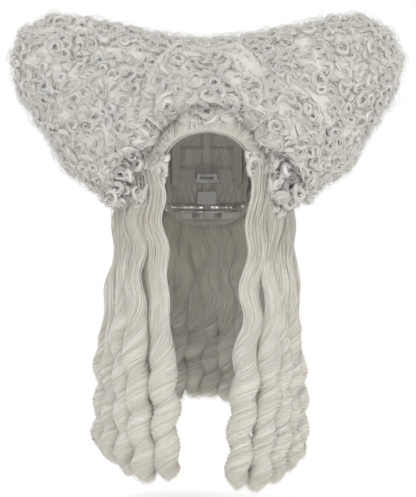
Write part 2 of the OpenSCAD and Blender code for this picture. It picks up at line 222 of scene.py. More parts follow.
class StrandTint(Effect):
    """Colour of hair, mixed from a lit colour towards a painted-shade colour: each strand its own random
    tone, darker and warmer towards the root (painted shade where the strand goes into the hair), streaked
    along the fibre.
    """

    NAME = "strand_tint"
    INPUTS = (("Lit", "Color", (0.9, 0.88, 0.84, 1)), ("Shade", "Color", (0.7, 0.67, 0.6, 1)),
              ("Streak Scale", "Float", 700.0), ("Streak Amount", "Float", 0.35),
              ("Root Amount", "Float", 0.4), ("Tone Amount", "Float", 0.4))
    OUTPUTS = (("Color", "Color"), ("Roughness", "Float"), ("Height", "Float"))
    DARK = (0.35, 0.7)       # noise over which a streak goes from light to dark
    ROUGH = (0.42, 0.62)     # roughness of the smoothest and the roughest streak

    def wire(self, graph: Graph, given: bpy.types.NodeInputs) -> dict:
        """Wires tone, root and streak masks. Args and Returns as in Effect."""
        tone = graph.add("Attribute", attribute_name="tone").outputs["Fac"]
        along = graph.add("Attribute", attribute_name="along").outputs["Fac"]
        grain = graph.add("Attribute", attribute_name="grain").outputs["Vector"]
        streak = graph.add("TexNoise", {"Vector": grain, "Scale": given["Streak Scale"], "Detail": 2.0,
                                        "Roughness": 0.6}).outputs[0]
        # painted shade: a strand darkens towards its root, where it goes into the mass of hair
        root = graph.maths("POWER", graph.maths("SUBTRACT", 1.0, along), 2.0)
        dim = graph.plus(graph.times(tone, given["Tone Amount"]), graph.times(root, given["Root Amount"]))
        both = graph.plus(dim, graph.times(graph.span(streak, *self.DARK), given["Streak Amount"]))
        colour = graph.blend(graph.maths("MINIMUM", both, 1.0), given["Lit"], given["Shade"])
        return {"Color": colour, "Roughness": graph.span(streak, 0.2, 0.8, *self.ROUGH), "Height": streak}


class MassNormal(Effect):
    """Normal of a strand, turned a little towards the outside of the hair around it, to shade it softly."""

    NAME = "mass_normal"
    INPUTS = (("Soften", "Float", 0.6),)
    OUTPUTS = (("Normal", "Vector"),)

    def wire(self, graph: Graph, given: bpy.types.NodeInputs) -> dict:
        """Wires the stored outward way into the normal. Args and Returns as in Effect."""
        away = graph.add("Attribute", attribute_name="outward").outputs["Vector"]
        turned = graph.add("VectorTransform", {0: away}, vector_type="NORMAL", convert_from="OBJECT",
                           convert_to="WORLD").outputs[0]
        own = graph.add("NewGeometry").outputs["Normal"]
        mixed = graph.add("Mix", {0: given["Soften"], 4: own, 5: turned}, data_type="VECTOR").outputs[1]
        return {"Normal": graph.add("VectorMath", {0: mixed}, operation="NORMALIZE").outputs[0]}


class HeadWrap(Effect):
    """Coordinates in metres laid round the head: along the azimuth and down from the crown."""

    NAME = "head_wrap"
    OUTPUTS = (("Vector", "Vector"),)
    RADIUS = 0.09            # mean radius of the head

    def wire(self, graph: Graph, given: bpy.types.NodeInputs) -> dict:
        """Wires the angles. Args and Returns as in Effect."""
        place = graph.here()
        parts = graph.add("SeparateXYZ", {0: place}).outputs
        out = graph.add("VectorMath", {0: place}, operation="LENGTH").outputs["Value"]
        turn = graph.maths("ARCTAN2", parts[0], graph.times(parts[1], -1.0))
        down = graph.maths("ARCCOSINE", graph.maths("DIVIDE", parts[2], out))
        wires = {0: graph.times(turn, self.RADIUS), 1: graph.times(down, self.RADIUS)}
        return {"Vector": graph.add("CombineXYZ", wires).outputs[0]}


class Weave(Effect):
    """Plain weave: crossing threads as a height, and a mask of the gaps between them."""

    NAME = "plain_weave"
    INPUTS = (("Vector", "Vector", (0, 0, 0)), ("Threads", "Float", 1500.0), ("Unevenness", "Float", 0.2))
    OUTPUTS = (("Height", "Float"), ("Gaps", "Float"))
    WOBBLE_SCALE = 260.0
    WOBBLE = 1.2 * MM        # how far a wholly uneven thread strays
    GAP = (0.25, 0.05)       # product of the threads' heights at a gap's rim and in its middle

    def wire(self, graph: Graph, given: bpy.types.NodeInputs) -> dict:
        """Wires two sets of threads. Args and Returns as in Effect."""
        wobble = graph.add("TexNoise", {"Vector": given["Vector"], "Scale": self.WOBBLE_SCALE,
                                        "Detail": 2.0}).outputs[1]
        push = graph.add("VectorMath", {0: wobble, "Scale": graph.times(given["Unevenness"], self.WOBBLE)},
                         operation="SCALE").outputs[0]
        place = graph.add("VectorMath", {0: given["Vector"], 1: push}, operation="ADD").outputs[0]
        parts = graph.add("SeparateXYZ", {0: place}).outputs
        waves = [graph.maths("SINE", graph.times(graph.times(parts[i], given["Threads"]), math.pi))
                 for i in (0, 1)]
        tall = [graph.maths("ABSOLUTE", w) for w in waves]
        over = graph.maths("GREATER_THAN", graph.times(*waves), 0.0)
        other = graph.times(tall[1], graph.maths("SUBTRACT", 1.0, over))
        return {"Height": graph.plus(graph.times(tall[0], over), other),
                "Gaps": graph.span(graph.times(*tall), *self.GAP)}


class Handling(Effect):
    """Uneven dye and light soiling in broad soft patches with a finer grain over them."""

    NAME = "handling"
    INPUTS = (("Clean", "Color", (0.8, 0.8, 0.8, 1)), ("Soiled", "Color", (0.6, 0.58, 0.5, 1)),
              ("Scale", "Float", 25.0), ("Amount", "Float", 0.4))
    OUTPUTS = (("Color", "Color"), ("Mask", "Float"))
    FINER = 14.0             # scale of the grain against the patches'
    GRAIN = 0.3              # the grain's share
    EDGE = (0.38, 0.62)      # noise over which clean goes to soiled

    def wire(self, graph: Graph, given: bpy.types.NodeInputs) -> dict:
        """Wires patches and grain. Args and Returns as in Effect."""
        place = graph.here()
        broad = graph.noise(place, given["Scale"], 4.0)
        fine = graph.noise(place, graph.times(given["Scale"], self.FINER), 3.0)
        both = graph.plus(graph.times(broad, 1 - self.GRAIN), graph.times(fine, self.GRAIN))
        mask = graph.times(graph.span(both, *self.EDGE), given["Amount"])
        return {"Color": graph.blend(mask, given["Clean"], given["Soiled"]), "Mask": mask}


@dataclass(frozen=True)
class Finish:
    """A material, by its name and the looks that a kind of finish adds."""

    name: str

    def inputs(self, graph: Graph) -> dict:
        """Wires the finish's own nodes.

        Args:
            graph: the material's graph.

        Returns:
            For each input of the Principled node, its socket or value.
        """
        raise NotImplementedError

    def material(self) -> bpy.types.Material:
        """Builds the material.

        Returns:
            The material.
        """
        made = bpy.data.materials.new(self.name)
        made.use_nodes = True
        graph = Graph(made.node_tree)
        graph.feed(made.node_tree.nodes["Principled BSDF"], self.inputs(graph))
        return made


@dataclass(frozen=True)
class HairFinish(Finish):
    """Fine white synthetic fibre with a soft sheen."""

    # colour of lit hair, and the painted shade that tone, root and streaks mix it towards
    lit: Triple = (0.93, 0.92, 0.90)
    shade: Triple = (0.84, 0.815, 0.76)
    streaks: float = 0.35
    # how much painted shade darkens a strand towards its root
    root: float = 0.35
    tone: float = 0.4
    streak_scale: float = 700.0
    bump: float = 0.25
    relief: float = 0.6 * MM
    shine: float = 0.35
    sheen: float = 0.12
    sheen_roughness: float = 0.4
    soften: float = 0.15              # how far a strand is lit like the mass of hair it lies in

    def inputs(self, graph: Graph) -> dict:
        """Wires the finish. Args and Returns as in Finish."""
        tint = StrandTint().place(graph, Lit=self.lit, Shade=self.shade, Streak_Scale=self.streak_scale,
                                  Streak_Amount=self.streaks, Root_Amount=self.root, Tone_Amount=self.tone)
        mass = MassNormal().place(graph, Soften=self.soften)
        bump = graph.add("Bump", {"Height": tint["Height"], "Strength": self.bump, "Distance": self.relief,
                                  "Normal": mass["Normal"]})
        return {"Base Color": tint["Color"], "Roughness": tint["Roughness"],
                "Normal": bump.outputs[0], "Specular IOR Level": self.shine,
                "Sheen Weight": self.sheen, "Sheen Roughness": self.sheen_roughness}


@dataclass(frozen=True)
class ClothFinish(Finish):
    """Woven ribbon, tape or elastic laid round the head, with painted shade in the gaps between its
    threads.
    """

    clean: Triple
    soiled: Triple
    threads: float = 1500.0           # to a metre
    depth: float = 0.3                # of the threads' relief, mm
    sheen: float = 0.2
    roughness: float = 0.8
    dark: float = 0.45                # how far the gaps between threads darken

    def inputs(self, graph: Graph) -> dict:
        """Wires the finish. Args and Returns as in Finish."""
        wrap = HeadWrap().place(graph)
        weave = Weave().place(graph, Vector=wrap["Vector"], Threads=self.threads)
        hand = Handling().place(graph, Clean=self.clean, Soiled=self.soiled, Scale=30.0, Amount=0.6)
        # painted shade: the gaps between threads are darkened with the second colour, over the soiling
        colour = graph.blend(graph.times(weave["Gaps"], self.dark), hand["Color"], self.soiled, "MULTIPLY")
        rough = graph.span(hand["Mask"], 0.0, 0.6, self.roughness - 0.1, self.roughness + 0.1)
        return {"Base Color": colour, "Roughness": rough, "Sheen Weight": self.sheen,
                "Normal": graph.bump(weave["Height"], 0.6, self.depth * MM)}


@dataclass(frozen=True)
class FoamFinish(Finish):
    """Open wadding with a pitted surface, darker in the pits as painted shade."""

    clean: Triple = (0.86, 0.85, 0.81)
    soiled: Triple = (0.68, 0.66, 0.6)
    pits: float = 420.0               # to a metre
    pit_depth: float = 1.2 * MM

    def inputs(self, graph: Graph) -> dict:
        """Wires the finish. Args and Returns as in Finish."""
        pits = graph.add("TexVoronoi", {"Vector": graph.here(), "Scale": self.pits}).outputs["Distance"]
        hand = Handling().place(graph, Clean=self.clean, Soiled=self.soiled, Scale=40.0, Amount=0.8)
        # painted shade: the pits are mixed towards the darker colour
        colour = graph.blend(graph.span(pits, 0.5, 0.1, 0.0, 0.5), hand["Color"], self.soiled)
        return {"Base Color": colour, "Roughness": graph.span(pits, 0.0, 0.6, 1.0, 0.85),
                "Normal": graph.bump(pits, 0.7, self.pit_depth)}


@dataclass(frozen=True)
class SteelFinish(Finish):
    """Stamped or drawn spring steel with rolling marks and soft patches of wear."""

    clean: Triple = (0.63, 0.63, 0.64)
    worn: Triple = (0.42, 0.41, 0.40)
    stretch: Triple = (60.0, 900.0, 60.0)  # rolling marks to a metre along each axis
    mark_depth: float = 0.2 * MM
    rough: Pair = (0.28, 0.46)

    def inputs(self, graph: Graph) -> dict:
        """Wires the finish. Args and Returns as in Finish."""
        drawn = graph.add("Mapping", {"Vector": graph.here(), "Scale": self.stretch}).outputs[0]
        marks = graph.noise(drawn, 1.0, 3.0)
        hand = Handling().place(graph, Clean=self.clean, Soiled=self.worn, Scale=80.0, Amount=0.7)
        colour = graph.blend(graph.span(marks, 0.3, 0.7, 0.0, 0.3), hand["Color"], self.worn)
        return {"Base Color": colour, "Roughness": graph.span(marks, 0.3, 0.7, *self.rough),
                "Normal": graph.bump(marks, 0.15, self.mark_depth), "Metallic": 1.0}


@dataclass(frozen=True)
class FloorFinish(Finish):
    """Pale paper floor that fades into the background at its rim."""

    colour: Triple = (0.93, 0.93, 0.93)
    fibre: Triple = (0.85, 0.85, 0.84)
    glow: float = 0.3
    fade_from: float = 0.5            # distances from its middle where it starts to fade and is gone
    fade_to: float = 1.25

    def inputs(self, graph: Graph) -> dict:
        """Wires the finish. Args and Returns as in Finish."""
        place = graph.here()
        out = graph.add("VectorMath", {0: place}, operation="LENGTH").outputs["Value"]
        fibre = graph.noise(place, 300.0, 3.0)
        return {
            "Base Color": graph.blend(graph.span(fibre, 0.3, 0.7, 0.0, 0.04), self.colour, self.fibre),
            "Roughness": graph.span(fibre, 0.3, 0.7, 0.85, 0.95),
            "Alpha": graph.span(out, self.fade_from, self.fade_to, 1.0, 0.0),
            "Emission Color": (1, 1, 1, 1), "Emission Strength": self.glow}


class Finishes:
    """Every finish of the wig, built once."""

    def __init__(self) -> None:
        """Builds the materials."""
        self.curls = HairFinish("curled_hair", lit=(0.935, 0.92, 0.885), shade=(0.875, 0.855, 0.79),
                                tone=0.3, root=0.2).material()
        self.lock = HairFinish("hair_inside_curls", lit=(0.925, 0.91, 0.87), shade=(0.845, 0.82, 0.75),
                               streaks=0.6, bump=0.7, root=0.15, streak_scale=1100.0, soften=0.0).material()
        # under-hair: painted lighter than the curls over it, painted light that lifts the shade deep
        # between the curls
        self.under = HairFinish("hair_under_curls", lit=(0.95, 0.935, 0.90), shade=(0.90, 0.88, 0.82),
                                streaks=0.7, bump=0.8, streak_scale=900.0).material()
        self.smooth = HairFinish("smooth_hair", lit=(0.865, 0.845, 0.795), shade=(0.71, 0.665, 0.56),
                                 tone=0.4, root=0.15, soften=0.15).material()
        # inside the ringlets and the roll: darker and warmer than the strands over it, painted shade for
        # the gaps between the strands
        self.shaded_rope = HairFinish("shaded_hair_inside_ringlets", lit=(0.80, 0.77, 0.70), shade=(0.62, 0.575, 0.47),
                               streaks=0.75, bump=0.7, root=0.2, streak_scale=1000.0, soften=0.0).material()
        self.lace = ClothFinish("stretch_lace", (0.92, 0.90, 0.85), (0.78, 0.74, 0.66), threads=2600.0,
                                depth=0.15).material()
        self.tape = ClothFinish("binding_tape", (0.90, 0.87, 0.80), (0.74, 0.69, 0.60), threads=1300.0,
                                depth=0.35).material()
        self.weft = ClothFinish("weft_heading", (0.88, 0.86, 0.81), (0.70, 0.66, 0.58), threads=700.0,
                                depth=0.5).material()
        self.elastic = ClothFinish("ribbed_elastic", (0.90, 0.88, 0.83), (0.72, 0.68, 0.60), threads=560.0,
                                   depth=0.5).material()
        self.satin = ClothFinish("blank_satin", (0.93, 0.93, 0.92), (0.84, 0.83, 0.80), threads=4200.0,
                                 depth=0.08, sheen=0.5, roughness=0.42, dark=0.15).material()
        self.thread = ClothFinish("sewing_thread", (0.90, 0.87, 0.80), (0.76, 0.70, 0.60), threads=3600.0,
                                  depth=0.1).material()
        self.foam = FoamFinish("open_wadding").material()
        self.steel = SteelFinish("stamped_steel").material()
        self.wire = SteelFinish("drawn_wire", (0.45, 0.45, 0.46), (0.30, 0.29, 0.29)).material()
        self.floor = FloorFinish("paper_floor").material()


# ---- strands ----

def unit(vectors: Array) -> Array:
    """Gives vectors length 1."""
    return vectors / np.maximum(np.linalg.norm(vectors, axis=-1, keepdims=True), 1e-12)


def across(vectors: Array, rng: np.random.Generator) -> tuple[Array, Array]:
    """Finds two directions at right angles to each vector, at a random turn.

    Args:
        vectors: unit vectors, (n, 3).
        rng: random numbers.

    Returns:
        Two arrays of unit vectors.
    """
    any_way = rng.normal(size=vectors.shape)
    first = unit(np.cross(vectors, any_way))
    return first, np.cross(vectors, first)


@dataclass
class Strands:
    """Hair strands with one count of points.

    path, facing and outward (the way out of the mass of hair) are (n, k, 3), width and depth (n, k) and
    tone (n,).
    """

    path: Array
    facing: Array
    width: Array
    depth: Array
    tone: Array
    outward: Array
    sides: int = 3

    def some(self, part: slice) -> "Strands":
        """A part of the strands."""
        return Strands(self.path[part], self.facing[part], self.width[part], self.depth[part],
                       self.tone[part], self.outward[part], self.sides)

    def rings(self) -> Array:
        """Cross-sections along each strand.

        Returns:
            Points (n, k, sides, 3).
        """
        way = unit(np.gradient(self.path, axis=1))
        side = unit(np.cross(way, self.facing))
        out = np.cross(side, way)
        angle = math.pi / 2 + TURN * np.arange(self.sides) / self.sides
        wide = side[:, :, None] * np.cos(angle)[:, None] * (self.width / 2)[:, :, None, None]
        deep = out[:, :, None] * np.sin(angle)[:, None] * (self.depth / 2)[:, :, None, None]
        return self.path[:, :, None] + wide + deep


@dataclass
class FluteBody(Strands):
    """Closed tubes with a cross-section of their own, kept in place of the oval."""

    section: Array = field(default_factory=lambda: np.zeros(0))

    def rings(self) -> Array:
        """The kept cross-sections. Returns as in Strands."""
        return self.section


@dataclass
class Fibres:
    """One mesh of closed tubes, made of sets of strands."""

    name: str
    rng: np.random.Generator
    sets: list[Strands]
    grain_stretch: float = 0.06       # how far the streaks run along a strand, against across it
    corner: Pair = (0.08, 0.06)       # of a tube's wall in its cell of the UV map, as shares
    wall: Pair = (0.84, 0.88)         # breadth and height of the wall, likewise
    lids: Pair = (0.1, 0.8)           # how far up the wall its two ends are laid
    lid: Triple = (0.4, 0.3, 0.08)    # middle and half sizes of an end

    def build(self, material: bpy.types.Material) -> bpy.types.Object:
        """Makes the object.

        Args:
            material: its finish.

        Returns:
            The object, linked to the scene.
        """
        total = sum(len(s.path) for s in self.sets)
        columns = math.ceil(math.sqrt(2 * total))
        rows = math.ceil(total / columns)
        points, tones, alongs, grains, corners, starts, uvs, outs = [], [], [], [], [], [], [], []
        base = done = 0
        for s in self.sets:
            n, k, m = len(s.path), s.path.shape[1], s.sides
            ring = s.rings()
            index = base + np.arange(n * k * m).reshape(n, k, m)
            follow = np.roll(index, -1, axis=2)
            quads = np.stack([index[:, :-1], index[:, 1:], follow[:, 1:], follow[:, :-1]], axis=-1)
            cell = done + np.arange(n)
            left = (cell % columns + self.corner[0]) / columns
            low = (cell // columns + self.corner[1]) / rows
            u0 = np.arange(m) / m * self.wall[0] / columns
            u1 = (np.arange(m) + 1) / m * self.wall[0] / columns
            v = np.arange(k) / (k - 1) * self.wall[1] / rows
            shape = (n, k - 1, m)
            us = np.stack([np.broadcast_to(left[:, None, None] + u, shape) for u in (u0, u0, u1, u1)], -1)
            vs = np.stack([np.broadcast_to((low[:, None] + part)[:, :, None], shape)
                           for part in (v[:-1], v[1:], v[1:], v[:-1])], -1)
            corners += [quads.reshape(-1)]
            uvs += [np.stack([us, vs], -1).reshape(-1, 2)]
            starts += [np.full(quads[..., 0].size, 4)]
            turn = TURN * np.arange(m) / m
            for ends, height in zip((index[:, 0], index[:, -1, ::-1]), self.lids):
                corners += [ends.reshape(-1)]
                starts += [np.full(n, m)]
                cu = left[:, None] + (self.lid[0] + self.lid[1] * np.cos(turn)) / columns
                cv = low[:, None] + (height + self.lid[2] * np.sin(turn)) / rows
                uvs += [np.stack([cu, cv], -1).reshape(-1, 2)]
            step = np.linalg.norm(np.diff(s.path, axis=1), axis=2)
            length = np.concatenate([np.zeros((n, 1)), np.cumsum(step, axis=1)], axis=1)
            local = ring - s.path[:, :, None]
            size = np.linalg.norm(local, axis=-1)
            grain = np.zeros((n, k, m, 3))
            grain[..., 0] = np.cos(turn) * size + self.rng.uniform(0, 1, n)[:, None, None]
            grain[..., 1] = np.sin(turn) * size + self.rng.uniform(0, 1, n)[:, None, None]
            grain[..., 2] = (length * self.grain_stretch)[:, :, None]
            points += [ring.reshape(-1, 3)]
            grains += [grain.reshape(-1, 3)]
            outs += [np.broadcast_to(s.outward[:, :, None], (n, k, m, 3)).reshape(-1, 3)]
            tones += [np.repeat(s.tone, k * m)]
            alongs += [np.broadcast_to((np.arange(k) / (k - 1))[None, :, None], (n, k, m)).reshape(-1)]
            base += n * k * m
            done += n
        obj = mesh_object(self.name, *map(np.concatenate, (points, corners, starts)))
        store(obj, tone=np.concatenate(tones), along=np.concatenate(alongs), grain=np.concatenate(grains),
              outward=np.concatenate(outs))
        obj.data.uv_layers.new(name="OFBake").data.foreach_set(
            "uv", np.concatenate(uvs).astype(np.float32).reshape(-1))
        obj.data.materials.append(material)
        LOG.info("%s: %d strands, %d faces", self.name, total, len(obj.data.polygons))
        return obj


def store(obj: bpy.types.Object, **values: Array) -> None:
    """Stores values for the shaders at an object's vertices.

    Args:
        obj: the object.
        values: by attribute name, numbers (n,) or vectors (n, 3).
    """
    for name, value in values.items():
        kind, key = ("FLOAT", "value") if value.ndim == 1 else ("FLOAT_VECTOR", "vector")
        data = obj.data.attributes.new(name, kind, "POINT").data
        data.foreach_set(key, value.astype(np.float32).reshape(-1))


def mesh_object(name: str, points: Array, corners: Array, counts: Array) -> bpy.types.Object:
    """Makes a smooth-shaded mesh object from flat arrays.

    Args:
        name: object name.
        points: vertices, (n, 3).
        corners: vertex number of each face corner.
        counts: corners of each face.

    Returns:
        The object, linked to the scene.
    """
    mesh = bpy.data.meshes.new(name)
    mesh.vertices.add(len(points))
    mesh.vertices.foreach_set("co", points.astype(np.float32).reshape(-1))
    mesh.loops.add(len(corners))
    mesh.loops.foreach_set("vertex_index", corners.astype(np.int32))
    mesh.polygons.add(len(counts))
    starts = np.concatenate([[0], np.cumsum(counts)[:-1]])
    mesh.polygons.foreach_set("loop_start", starts.astype(np.int32))
    mesh.polygons.foreach_set("use_smooth", np.ones(len(counts), bool))
    mesh.update(calc_edges=True)
    obj = bpy.data.objects.new(name, mesh)
    bpy.context.scene.collection.objects.link(obj)
    return obj


def triangles(obj: bpy.types.Object) -> tuple[Array, Array]:
    """Reads an object's mesh.

    Args:
        obj: the object, at the origin.

    Returns:
        Its vertices (n, 3) and its triangles' vertex numbers (m, 3).
    """
    mesh = obj.data
    mesh.calc_loop_triangles()
    points = np.zeros(len(mesh.vertices) * 3, np.float32)
    mesh.vertices.foreach_get("co", points)
    faces = np.zeros(len(mesh.loop_triangles) * 3, np.int32)
    mesh.loop_triangles.foreach_get("vertices", faces)
    return points.reshape(-1, 3).astype(float), faces.reshape(-1, 3)


@dataclass
class CapShape:
    """The head that the cap fits, as the CAD has it: half axes and the net's cut line."""

    half: Triple = (0.076, 0.097, 0.104)
    cut: tuple[Pair, ...] = (
        (0, 64), (25, 68), (42, 78), (54, 96), (66, 110), (76, 106), (86, 93), (98, 92), (112, 104),
        (130, 120), (150, 129), (180, 131))
    rounding: float = 8.0             # how far along the line its corners are rounded, degrees
    covered: float = 125.0            # polar angle down to which hair is kept out of the cap, degrees

    def edge(self, azimuth: Array) -> Array:
        """Polar angle of the net's cut line at azimuths in degrees, its corners rounded."""
        near = np.asarray(azimuth, float)[..., None] + np.linspace(-self.rounding, self.rounding, 9)
        fold = np.abs((near + 180) % 360 - 180)
        return np.interp(fold, *zip(*self.cut)).mean(-1)

    def at(self, azimuth: Array, polar: Array, out: Array | float) -> Array:
        """Points round the head.

        Args:
            azimuth: degrees from the forehead, positive to the wearer's left.
            polar: degrees down from the crown.
            out: distance outside the net's inner face.

        Returns:
            Points (..., 3).
        """
        th, ph = np.radians(azimuth), np.radians(polar)
        out = np.asarray(out, float)
        a, b, c = self.half
        return np.stack(np.broadcast_arrays(
            (a + out) * np.sin(ph) * np.sin(th), -(b + out) * np.sin(ph) * np.cos(th),
            (c + out) * np.cos(ph)), -1)

    def clear(self, points: Array, gap: float = 5 * MM) -> Array:
        """Pushes points out of the cap.

        Args:
            points: (..., 3).
            gap: least distance outside the net's inner face.

        Returns:
            The points, those inside moved out.
        """
        size = np.array(self.half) + gap
        depth = np.linalg.norm(points / size, axis=-1, keepdims=True)
        over = points[..., 2:] > self.half[2] * math.cos(math.radians(self.covered))
        return np.where((depth < 1) & over, points / np.maximum(depth, 0.2), points)


# ---- curls of the horns, crown, front and back ----

class HairSurface:
    """The outside of the dressed hair, read from the CAD panels, and points spread over it."""

    COVER = 12 * MM          # a face with something nearer than this in front of it doesn't show
    NEAR = 0.2 * MM          # where the look out from a face starts
    LEAST_AREA = 1e-8
    TRIES = 9                # points tried for each square of the spacing

    def __init__(self, shown: list[str], blockers: list[str]) -> None:
        """Joins panels and what lies against them.

        Args:
            shown: CAD nodes whose surface is dressed.
            blockers: more CAD nodes that hide parts of it.
        """
        self.corners: dict[str, Array] = {}
        points, faces, base = [], [], 0
        for name in shown + blockers:
            p, f = triangles(frame["nodes"][name])
            if name in shown:
                self.corners[name] = p[f]
            points += [p]
            faces += [f + base]
            base += len(p)
        joined = np.concatenate(points).tolist()
        self.tree = BVHTree.FromPolygons(joined, np.concatenate(faces).tolist())
        self.inside = BVHTree.FromPolygons(joined, np.concatenate(faces[len(shown):]).tolist())

    def shows(self, middle: Array, normal: Array) -> Array:
        """Tells which faces have nothing close in front of them.

        Args:
            middle: the faces' middles.
            normal: their unit normals.

        Returns:
            One truth value per face.
        """
        return np.array([self.tree.ray_cast(Vector(p + n * self.NEAR), Vector(n), self.COVER)[0] is None
                         for p, n in zip(middle, normal)])

    def open_faces(self, name: str) -> tuple[Array, Array, Array]:
        """Finds a panel's faces that show.

        Args:
            name: CAD node.

        Returns:
            Triangles (n, 3, 3), unit normals (n, 3) and areas (n,).
        """
        corners = self.corners[name]
        cross = np.cross(corners[:, 1] - corners[:, 0], corners[:, 2] - corners[:, 0])
        area = np.linalg.norm(cross, axis=1) / 2
        normal = unit(cross)
        keep = self.shows(corners.mean(1), normal) & (area > self.LEAST_AREA)
        return corners[keep], normal[keep], area[keep]

    def spread(self, name: str, spacing: float, rng: np.random.Generator) -> tuple[Array, Array]:
        """Spreads points evenly over a panel's open faces.

        Args:
            name: CAD node.
            spacing: least distance between points.
            rng: random numbers.

        Returns:
            Points and unit normals, (n, 3) each.
        """
        corners, normal, area = self.open_faces(name)
        tries = int(area.sum() / spacing ** 2 * self.TRIES) + 1
        pick = rng.choice(len(area), tries, p=area / area.sum())
        a, b = rng.uniform(size=(2, tries))
        flip = a + b > 1
        a[flip], b[flip] = 1 - a[flip], 1 - b[flip]
        tri = corners[pick]
        spots = tri[:, 0] + a[:, None] * (tri[:, 1] - tri[:, 0]) + b[:, None] * (tri[:, 2] - tri[:, 0])
        kept: list[int] = []
        cells: dict[tuple, list[int]] = {}
        for i, key in enumerate(map(tuple, np.floor(spots / spacing).astype(int))):
            near = [j for dx in (-1, 0, 1) for dy in (-1, 0, 1) for dz in (-1, 0, 1)
                    for j in cells.get((key[0] + dx, key[1] + dy, key[2] + dz), ())]
            if all(np.sum((spots[i] - spots[j]) ** 2) > spacing ** 2 for j in near):
                kept.append(i)
                cells.setdefault(key, []).append(i)
        return spots[kept], normal[pick[kept]]


@dataclass
class CurlStyle:
    """Sizes of the small ring curls, each a soft lock with fine strands over it."""

    radius: Pair = (6.5 * MM, 12.0 * MM)
    turns: Pair = (0.7, 1.8)
    close: float = 0.62               # how far a curl winds in on itself, against its radius
    lock: Pair = (6.6 * MM, 5.6 * MM)  # section of a curl's lock, along its axis and out from it
    strands: int = 11
    steps: int = 16
    uneven: float = 0.16              # how far a curl is from round
    lift: Pair = (2 * MM, 8 * MM)     # rise along the axis over the whole curl
    tilt: Pair = (0.0, 75.0)          # lean of the axis from the surface's normal, degrees
    width: float = 0.85 * MM
    depth: float = 0.5 * MM
    frizz: float = 1.0 * MM
    waves: Pair = (10.0, 26.0)        # of the frizz, radians over the whole curl
    sink: float = -0.5 * MM           # how far the rim lies under the CAD surface
    fat: Pair = (0.7, 1.3)            # thickness of a lock against the mean
    short: Pair = (-0.08, 0.2)        # how much shorter than its lock a strand is, as a share
    start: float = 0.1                # spread of the strands' starts round the coil, radians
    wander: float = 0.9               # how far a strand winds round its lock, radians
    stray: Pair = (0.5, 0.3)          # where strands lie, against the lock's size, and spread
    lead: Pair = (0.16, 9 * MM)       # share of the curl that dives in, and how deep
    thick: Pair = (0.75, 1.25)        # size of a strand against the mean
    tone: Triple = (0.3, 0.18, 0.2)   # mean, spread by curl, spread by strand


